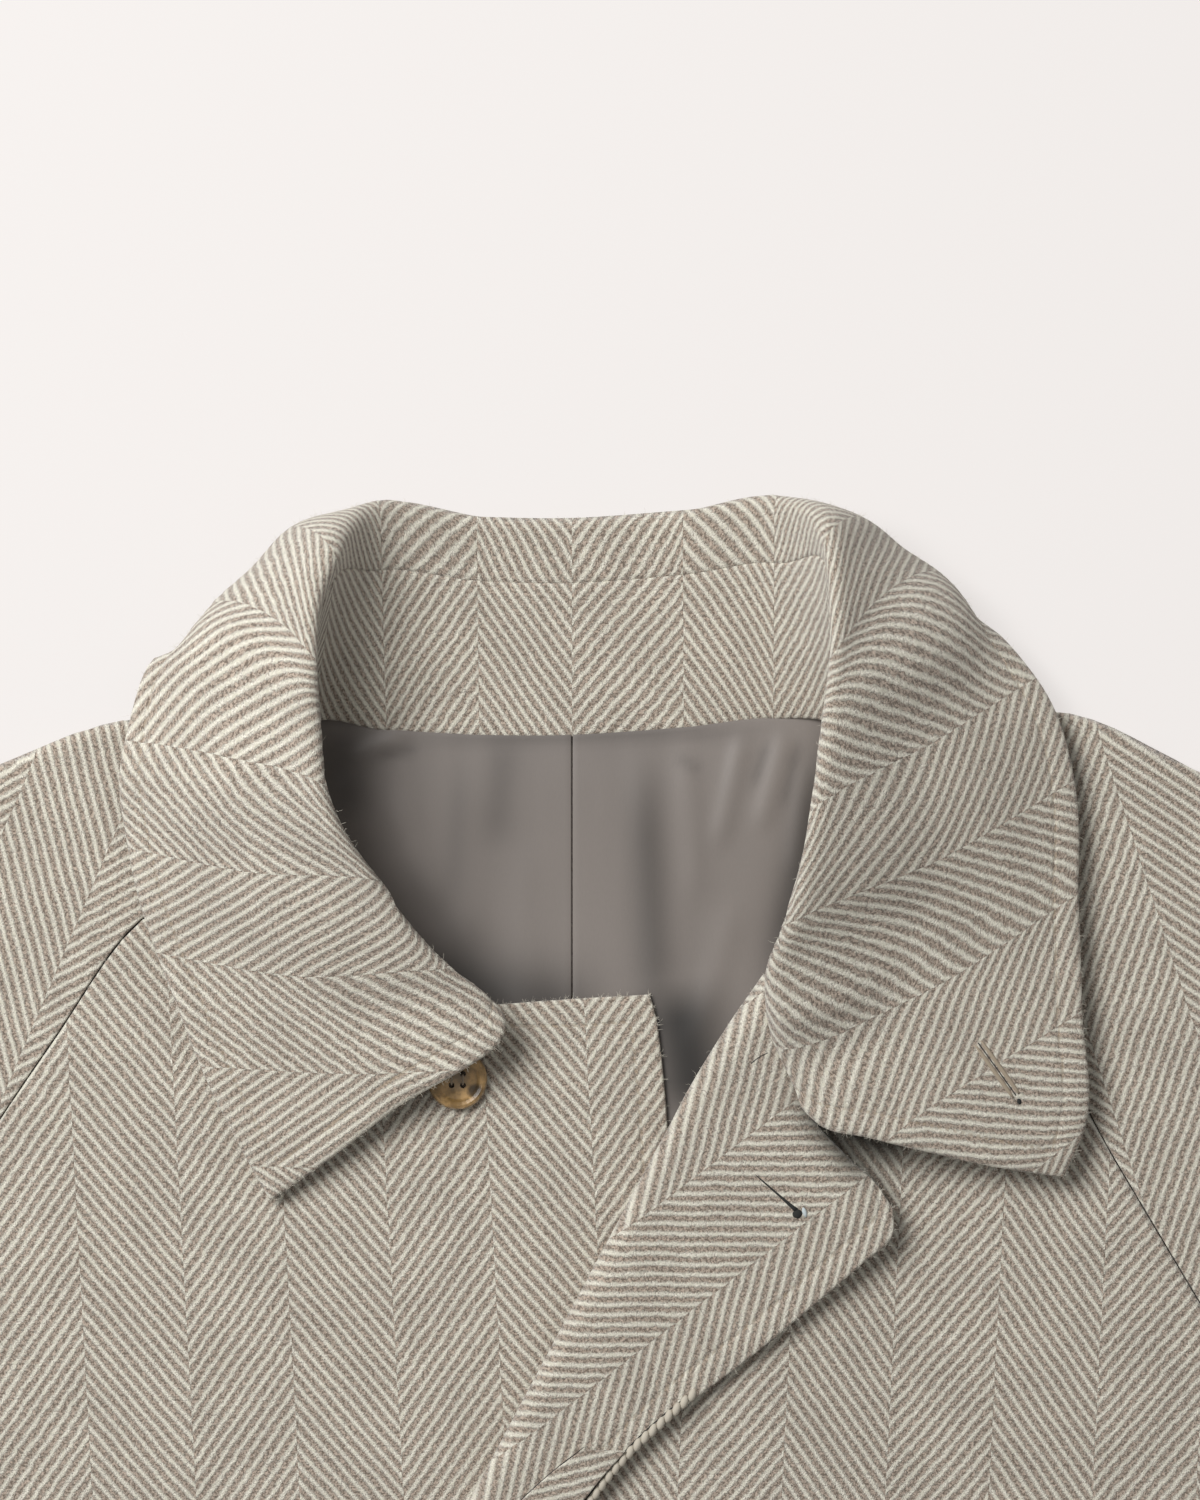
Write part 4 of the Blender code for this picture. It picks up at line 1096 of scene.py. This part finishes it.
def satin_material(sizes):
    """The lining: fine weave lines, slightly shiny, with soft waves, a painted sheen that lightens the
    waves' crests, and painted shade in its hollows.
    """
    material, n, shader = principled("Lining satin", sizes.lining_colour, {
        "Roughness": 0.45, "Specular IOR Level": 0.45})
    place = n.add("ShaderNodeTexCoord").outputs["Object"]
    stretched = n.add("ShaderNodeMapping")
    stretched.inputs["Scale"].default_value = (1.0, 0.22, 1.0)
    n.put(stretched.inputs["Vector"], place)
    waves = n.noise(stretched.outputs[0], 22.0, 3.0, 0.5)
    threads = n.noise(stretched.outputs[0], 2600.0, 1.0, 0.5)
    # Painted sheen: a lighter copy of the lining colour, laid on where the soft waves of the bump rise
    light = tuple(min(1.0, part * 1.22) for part in sizes.lining_colour)
    color = n.mix(n.ramp(waves, 0.3, 0.7), (*sizes.lining_colour, 1), (*light, 1))
    color = n.mix(n.math("MULTIPLY", threads, 0.16), color, SATIN_THREAD)
    color = n.mix(n.attribute("hollow_shade"), color, SATIN_SHADE)
    height = n.math("ADD", waves, n.math("MULTIPLY", threads, 0.01))
    n.put(shader.inputs["Base Color"], color)
    n.put(shader.inputs["Normal"], n.bump(height, 0.7, 0.0012))
    return material


def horn_material(sizes):
    """Polished horn: brown streaks, a dark spot and a lighter, worn patch round the thread holes."""
    material, n, shader = principled("Button horn", sizes.horn_colour, {
        "Roughness": 0.3, "Coat Weight": 0.25, "Coat Roughness": 0.2})
    place = n.add("ShaderNodeTexCoord").outputs["Object"]
    streaks = n.noise(place, 170.0, 4.0, 0.6)
    clouds = n.noise(place, 420.0, 3.0, 0.6)
    color = n.mix(n.ramp(streaks, 0.35, 0.65), DARK_HORN, LIGHT_HORN)
    color = n.mix(n.ramp(clouds, 0.45, 0.7, 0.0, 0.5), color, (*sizes.horn_colour, 1))
    color = n.mix(n.near(place, HORN_SPOT_AT, 1.5, 3.2, 0.8), color, HORN_SPOT)
    color = n.mix(n.near(place, HORN_WORN_AT, 2.2, 4.6, 0.45), color, WORN_HORN)
    n.put(shader.inputs["Base Color"], color)
    return material


def plain_material(name, colour):
    return principled(name, colour, {"Roughness": 0.9, "Base Color": (*colour, 1)})[0]


def material_for(kind):
    """The material of that kind, made once and kept by its name."""
    name, maker = {
        "wool": ("Herringbone wool", wool_material),
        "satin": ("Lining satin", satin_material),
        "horn": ("Button horn", horn_material),
    }[kind]
    return bpy.data.materials.get(name) or maker(bpy.context.scene.coat_looks)


# Lines of thread laid on a piece

def top_at(piece, x, y, lift=0.0):
    """The point on top of a piece at a place in plan, in mm."""
    start = Vector((x, y, FAR_ABOVE)) * MM
    hit, place, _, _ = piece.ray_cast(start, Vector((0, 0, -1)))
    if not hit:
        raise RuntimeError(f"{piece.name} has nothing at {x:.1f}, {y:.1f}")
    return np.array(place) / MM + np.array((0, 0, lift))


def build_tube(name, points, radii, material, sides=8, flatness=1.0):
    """A closed, soft-ended tube through points in mm."""
    points = np.asarray(points, float)
    radii = np.asarray(radii, float)
    course = np.gradient(points, axis=0)
    course /= np.maximum(np.linalg.norm(course, axis=1, keepdims=True), 1e-9)
    side = np.cross(course, (0, 0, 1.0))
    side /= np.maximum(np.linalg.norm(side, axis=1, keepdims=True), 1e-9)
    up = np.cross(side, course)
    shape = bmesh.new()
    rings = []
    for point, radius, s, u in zip(points, radii, side, up):
        ring = []
        for i in range(sides):
            angle = 2 * math.pi * i / sides
            offset = s * math.cos(angle) + u * math.sin(angle) * flatness
            ring.append(shape.verts.new((point + radius * offset) * MM))
        rings.append(ring)
    for a, b in zip(rings, rings[1:]):
        for i in range(sides):
            shape.faces.new((a[i], a[(i + 1) % sides], b[(i + 1) % sides], b[i]))
    shape.faces.new(rings[0][::-1])
    shape.faces.new(rings[-1])
    bmesh.ops.recalc_face_normals(shape, faces=shape.faces)
    mesh = bpy.data.meshes.new(name)
    shape.to_mesh(mesh)
    shape.free()
    mesh.shade_smooth()
    return new_piece(name, mesh, material)


def lay_thread(name, piece, places, radii, material, lift=0.0, flatness=0.5):
    """A thread, or the dark line of a slit, on top of a piece through places in plan."""
    points = [top_at(piece, x, y, lift) for x, y in places]
    return show(build_tube(name, points, radii, material, flatness=flatness), None)


def build_fuzz(piece, count, seed):
    """Short loose hairs along a piece's borders and where it turns away from the eye, near the neck."""
    random = np.random.default_rng(seed)
    mesh = piece.data
    places = np.empty(len(mesh.vertices) * 3, np.float32)
    mesh.vertices.foreach_get("co", places)
    normals = np.empty_like(places)
    mesh.vertex_normals.foreach_get("vector", normals)
    border = np.empty(len(mesh.vertices), np.float32)
    mesh.attributes["stitch_mm"].data.foreach_get("value", border)
    places, normals = places.reshape(-1, 3) / MM, normals.reshape(-1, 3)
    near = (np.abs(places[:, 0]) < FUZZ_REACH) & (places[:, 1] > -FUZZ_REACH)
    near &= normals[:, 2] > FUZZ_UNDERSIDE
    roots = np.flatnonzero(near & ((border < FUZZ_NEAR_BORDER) | (normals[:, 2] < FUZZ_TURNED)))
    chosen = random.choice(roots, count)
    # Each hair starts just inside the cloth, a little to the side, and bends in its upper half
    jitter = random.normal(0, 1, (count, 2, 3))
    course = normals[chosen] + 0.7 * jitter[:, 0]
    course /= np.linalg.norm(course, axis=1, keepdims=True)
    length = random.uniform(*FUZZ_LENGTH, count)[:, None]
    start = places[chosen] - 0.1 * normals[chosen] + 0.4 * jitter[:, 1] * (1 - np.abs(normals[chosen]))
    line = [start, start + 0.55 * length * course, start + length * (course + 0.25 * jitter[:, 1])]
    points = []
    for point, radius in zip(line, (1.0, 0.8, 0.3)):
        for angle in (0, 2.1, 4.2):
            around = np.array((math.cos(angle), math.sin(angle), 0))
            points.append(point + FUZZ_RADIUS * radius * around)
    points = np.stack(points, axis=1).reshape(-1, 3) * MM
    sides = [(a, (a + 1) % 3, (a + 1) % 3 + 3, a + 3) for a in range(3)]
    sides += [tuple(corner + 3 for corner in side) for side in sides]
    faces = (np.array(sides)[None] + 9 * np.arange(count)[:, None, None]).reshape(-1, 4)
    hairs = bpy.data.meshes.new(f"{piece.name}_fuzz")
    hairs.from_pydata(points.tolist(), [], faces.tolist())
    wool = bpy.data.materials.get("Loose wool") or plain_material("Loose wool", FUZZ_COLOUR)
    return show(new_piece(hairs.name, hairs, wool), None)


def shade_hollows(piece, hollows):
    """Keeps the shade of a piece's hollows for its material."""
    places = np.array([tuple(point.co) for point in piece.data.vertices]) / MM
    keep_values(piece.data, "hollow_shade", hollow_shade(places[:, 0], places[:, 1], hollows))


def show(piece, node):
    """The piece rides on the coat and stands for one CAD node."""
    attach(piece, "root")
    if node:
        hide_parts(node)
    return piece


def colour(name, description, default):
    return FloatVectorProperty(name=name, description=description, default=default, subtype="COLOR",
                               size=3, min=0, max=1)


def number(name, description, default, low, high, unit="LENGTH"):
    return FloatProperty(name=name, description=description, default=default, unit=unit,
                         min=low, max=high)


class CoatLooks(bpy.types.PropertyGroup):
    """Sizes and colours of the coat's looks."""

    cream_colour: colour("Cream lines", "Colour of the herringbone's raised lines", (0.87, 0.83, 0.715))
    ground_colour: colour("Ground", "Colour of the cloth between the lines", (0.305, 0.25, 0.20))
    speck_colour: colour("Specks", "Colour of the dark fibres in the ground", (0.14, 0.108, 0.08))
    lining_colour: colour("Lining", "Colour of the satin lining", (0.185, 0.162, 0.146))
    horn_colour: colour("Horn", "Middle colour of the button", (0.17, 0.105, 0.055))
    thread_colour: colour("Thread", "Colour of the buttonhole thread", (0.33, 0.27, 0.2))
    column_width: number("Column width", "Width of one column of the herringbone", 0.0346, 0.005, 0.1)
    pitch_across: number("Pitch across", "Spacing of the slanted lines, measured across the grain",
                         0.00427, 0.001, 0.02)
    pitch_along: number("Pitch along", "Spacing of the slanted lines, measured along the grain",
                        0.00549, 0.001, 0.02)
    nap_depth: number("Nap depth", "Height of the wool's raised lines and fibres", 0.0007, 0, 0.003)
    topstitch_inset: number("Topstitch inset", "Distance of the topstitch from each finished edge",
                            0.009, 0.002, 0.03)


class CoatStage(bpy.types.PropertyGroup):
    """The floor, the light and the camera."""

    floor_colour: colour("Floor", "Colour of the surface that the coat lies on", (0.855, 0.818, 0.797))
    sky_strength: number("Fill light", "Strength of the even light from all round", 0.31, 0, 5, "NONE")
    key_power: number("Key light", "Power of the large soft light above the collar",
                      42, 0, 1000, "POWER")
    camera_height: number("Camera height", "Height of the camera above the coat", 3, 0.5, 10)


class COAT_OT_body(bpy.types.Operator):
    """Makes the back, the two fronts and their grain"""

    bl_idname = "coat.body"
    bl_label = "Back and fronts"

    def execute(self, context):
        wool = material_for("wool")
        grid = back_grid()
        piece = build_shell("cloth_back", grid, grain_uv(grid, "back"), CLOTH, wool)
        show(piece, "back")
        grid = right_front_grid()
        piece = build_shell("cloth_front_right", grid, grain_uv(grid, "front_right"), CLOTH, wool,
                            stitched=("top", "right"))
        show(piece, "front_right")
        build_fuzz(piece, 500, 1)
        body, lapel = left_front_grids()
        uvs = [grain_uv(sheet, "front_left") for sheet in (body, lapel)]
        piece = build_joined("cloth_front_left", [body, lapel], uvs, CLOTH, wool)
        shade_hollows(piece, FRONT_SHADES)
        show(piece, "front_left")
        return {"FINISHED"}


class COAT_OT_sleeves(bpy.types.Operator):
    """Makes the two raglan sleeves"""

    bl_idname = "coat.sleeves"
    bl_label = "Sleeves"

    def execute(self, context):
        wool = material_for("wool")
        for side, sections, upward in (("right", SLEEVE_SECTIONS_RIGHT_ARM, 1),
                                       ("left", SLEEVE_SECTIONS_LEFT_ARM, -1)):
            node = f"sleeve_{side}"
            grid = sleeve_grid(sections)
            piece = build_shell(f"cloth_{node}", grid, grain_uv(grid, node), CLOTH, wool, upward=upward)
            show(piece, node)
        return {"FINISHED"}


class COAT_OT_lapel(bpy.types.Operator):
    """Makes the facing on the folded lapel, its buttonhole and the top of the concealed fly"""

    bl_idname = "coat.lapel"
    bl_label = "Lapel facing and fly"

    def execute(self, context):
        wool = material_for("wool")
        under, lapel = facing_grids()
        grid = np.concatenate((under[:, ::-1], lapel[:, 1:]), axis=1)
        facing = build_shell("cloth_facing_left", grid, grain_uv(grid, "facing_left"), CLOTH, wool,
                             stitched=("right",), puff=0.25)
        show(facing, "facing_left")
        shade_hollows(facing, FACING_SHADES)
        build_fuzz(facing, 500, 2)
        grid = fly_grid()
        fly = build_shell("cloth_fly_left", grid, grain_uv(grid, "fly_left"), FLY_CLOTH, wool)
        show(fly, "fly_left")
        bpy.context.view_layer.update()
        dark = plain_material("Buttonhole shadow", SLIT_COLOUR)
        pale = plain_material("Buttonhole gimp", GIMP_COLOUR)
        radii = np.interp(np.linspace(0, 1, 14), *SLIT_RADII)
        lay_thread("buttonhole_slit", facing, straight(*SLIT, 14), radii, dark, -0.1, 0.6)
        lay_thread("buttonhole_eye", facing, straight(*EYE, 7), EYE_RADII, dark, flatness=0.4)
        lay_thread("buttonhole_gimp", facing, straight(*GIMP, 5), GIMP_RADII, pale, lift=0.2)
        least, most = FLY_SHADOW_RADII
        radii = least + (most - least) * np.sin(np.linspace(0.1, math.pi - 0.1, 24)) ** 0.5
        for name, course in FLY_SHADOWS:
            lay_thread(name, facing, along(course, np.linspace(0, 1, 24)), radii, dark, lift=-0.05)
        # Painted shade: a short near-black line in the crease at the gorge seam
        places = along(GORGE_CREASE_SHADE, np.linspace(0, 1, 12))
        lay_thread("gorge_crease_shade", facing, places, np.full(12, GORGE_CREASE_SHADE_RADIUS), dark, flatness=0.6)
        cord_wool = plain_material("Edge cord wool", CORD_COLOUR)
        bow = CORD_BOW * np.sin(np.linspace(0, math.pi, len(CORD_RADII)))
        for index, place in enumerate(along(CORDS_COURSE, np.linspace(0, 1, CORD_COUNT))):
            low = place - np.array(CORD_LEAN) / 2
            line = straight(low, low + CORD_LEAN, len(CORD_RADII))
            foot = top_at(facing, *(place + CORD_FOOT))[2] - CORD_SUNK
            points = np.column_stack((line, foot + bow))
            show(build_tube(f"edge_cord_{index}", points, CORD_RADII, cord_wool), None)
        return {"FINISHED"}


class COAT_OT_collar(bpy.types.Operator):
    """Makes the collar stand and the collar fall"""

    bl_idname = "coat.collar"
    bl_label = "Collar"

    def execute(self, context):
        wool = material_for("wool")
        grid = stand_grid()
        shares = np.linspace(0, 1, grid.shape[1])
        places = np.linspace(LEFT_STAND_END, RIGHT_STAND_END, len(grid))[:, None]
        uv = collar_uv(places + 0 * shares, shares, False)
        piece = build_shell("cloth_collar_stand", grid, uv, COLLAR_CLOTH, wool)
        show(piece, "collar_stand")
        grid = fall_grid()
        shares = np.linspace(0, 1, grid.shape[1])
        places = np.linspace(-1, 1, len(grid))
        uv = collar_uv(front_column(places[:, None], shares), shares, True)
        fall = build_shell("cloth_collar_fall", grid, uv, COLLAR_CLOTH, wool,
                           stitched=("top", "bottom", "right"), puff=0.3)
        show(fall, "collar_fall")
        build_fuzz(fall, 1300, 3)
        bpy.context.view_layer.update()
        thread = plain_material("Buttonhole thread", tuple(context.scene.coat_looks.thread_colour))
        slit = straight(*COLLAR_SLIT, 16)
        radii = np.interp(np.linspace(0, 1, 16), *COLLAR_RIM_RADII)
        for index, offset in enumerate(COLLAR_RIM_OFFSETS):
            rim = slit + offset * COLLAR_RIM_SIDE
            lay_thread(f"collar_buttonhole_rim_{index}", fall, rim, radii, thread, -0.05, 0.7)
        dark = plain_material("Collar buttonhole shadow", SLIT_COLOUR)
        radii = np.full(16, COLLAR_SLIT_RADIUS)
        lay_thread("collar_buttonhole_slit", fall, slit, radii, dark, lift=-0.1)
        lay_thread("collar_buttonhole_eye", fall, COLLAR_EYE, COLLAR_EYE_RADII, dark)
        return {"FINISHED"}


class COAT_OT_lining(bpy.types.Operator):
    """Makes the two halves of the back lining"""

    bl_idname = "coat.lining"
    bl_label = "Lining"

    def execute(self, context):
        satin = material_for("satin")
        for side, sign in (("right", -1), ("left", 1)):
            grid = lining_grid(side)
            piece = build_shell(f"cloth_lining_{side}", grid, grid[..., :2], LINING, satin, upward=-sign)
            shade_hollows(piece, LINING_SHADES)
            show(piece, f"lining_back_{side}")
        return {"FINISHED"}


class COAT_OT_button(bpy.types.Operator):
    """Gives the button its horn and adds the thread in its holes"""

    bl_idname = "coat.button"
    bl_label = "Button"

    def execute(self, context):
        button = bpy.data.objects["button"]
        button.data.materials.clear()
        button.data.materials.append(material_for("horn"))
        button.data.shade_smooth()
        thread = plain_material("Button thread", BUTTON_THREAD)
        height = FRONT_Z + CLOTH / 2 + SEAM_GAP + THREAD_RISE
        reach = np.array((0, THREAD_HALF_LENGTH, 0))
        for index, sign in enumerate((-1, 1)):
            middle = np.array((BUTTON_AT[0] + sign * BUTTON_HOLE_OFFSET, BUTTON_AT[1], height))
            line = straight(middle - reach, middle + reach, len(THREAD_RADII))
            bar = build_tube(f"button_thread_{index}", line, THREAD_RADII, thread)
            show(bar, None)
        return {"FINISHED"}


class COAT_OT_stage(bpy.types.Operator):
    """Makes the floor, the light and the camera"""

    bl_idname = "coat.stage"
    bl_label = "Stage"

    def execute(self, context):
        sizes = context.scene.coat_stage
        bpy.ops.object.select_all(action="DESELECT")
        bpy.ops.mesh.primitive_plane_add(size=FLOOR_SIZE, location=(0, 0, FLOOR_HEIGHT))
        floor = context.object
        floor.name = "floor"
        tone = tuple(sizes.floor_colour)
        paper, _, _ = principled("Floor", tone, {
            "Roughness": 1.0, "Base Color": (*(FLOOR_DIFFUSE * part for part in tone), 1),
            "Emission Color": (*tone, 1), "Emission Strength": FLOOR_GLOW})
        floor.data.materials.append(paper)
        world = bpy.data.worlds.new("Soft studio")
        world.use_nodes = True
        sky = world.node_tree.nodes["Background"]
        sky.inputs["Color"].default_value = (1.0, 1.0, 1.0, 1)
        sky.inputs["Strength"].default_value = sizes.sky_strength
        context.scene.world = world
        lamp = bpy.data.lights.new("key", "AREA")
        lamp.energy = sizes.key_power
        lamp.shape = "SQUARE"
        lamp.size = KEY_SIZE
        light = bpy.data.objects.new("key", lamp)
        light.location = KEY_AT
        light.rotation_euler = (-Vector(KEY_AT)).to_track_quat("-Z", "Y").to_euler()
        context.scene.collection.objects.link(light)
        camera = bpy.data.cameras.new("camera")
        camera.sensor_width = 36
        camera.lens = camera.sensor_width * (sizes.camera_height - VIEW_PLANE * MM) / (VIEW_SIZE[1] * MM)
        camera.clip_end = 20
        view = bpy.data.objects.new("camera", camera)
        view.location = (VIEW_CENTRE[0] * MM, VIEW_CENTRE[1] * MM, sizes.camera_height)
        context.scene.collection.objects.link(view)
        context.scene.camera = view
        context.scene.view_settings.view_transform = "Standard"
        return {"FINISHED"}


class COAT_PT_looks(bpy.types.Panel):
    """Sizes and colours of the coat"""

    bl_label = "Balmacaan coat"
    bl_space_type = "VIEW_3D"
    bl_region_type = "UI"
    bl_category = "Coat"

    def draw(self, context):
        for group in (context.scene.coat_looks, context.scene.coat_stage):
            for name in group.bl_rna.properties.keys():
                if name not in ("rna_type", "name"):
                    self.layout.prop(group, name)
        for operator in OPERATORS:
            self.layout.operator(operator.bl_idname)


OPERATORS = (COAT_OT_body, COAT_OT_sleeves, COAT_OT_lapel, COAT_OT_collar, COAT_OT_lining,
             COAT_OT_button, COAT_OT_stage)
CLASSES = (CoatLooks, CoatStage, *OPERATORS, COAT_PT_looks)


def register():
    for kind in CLASSES:
        bpy.utils.register_class(kind)
    bpy.types.Scene.coat_looks = PointerProperty(type=CoatLooks)
    bpy.types.Scene.coat_stage = PointerProperty(type=CoatStage)


def unregister():
    del bpy.types.Scene.coat_looks
    del bpy.types.Scene.coat_stage
    for kind in reversed(CLASSES):
        bpy.utils.unregister_class(kind)


def corners(bounds):
    return [list(map(float, corner)) for corner in bounds]


def main():
    register()
    bpy.ops.object.select_all(action="DESELECT")
    for operator in OPERATORS:
        group, name = operator.bl_idname.split(".")
        getattr(getattr(bpy.ops, group), name)()
    bpy.context.view_layer.update()


if __name__ == "__main__":
    main()
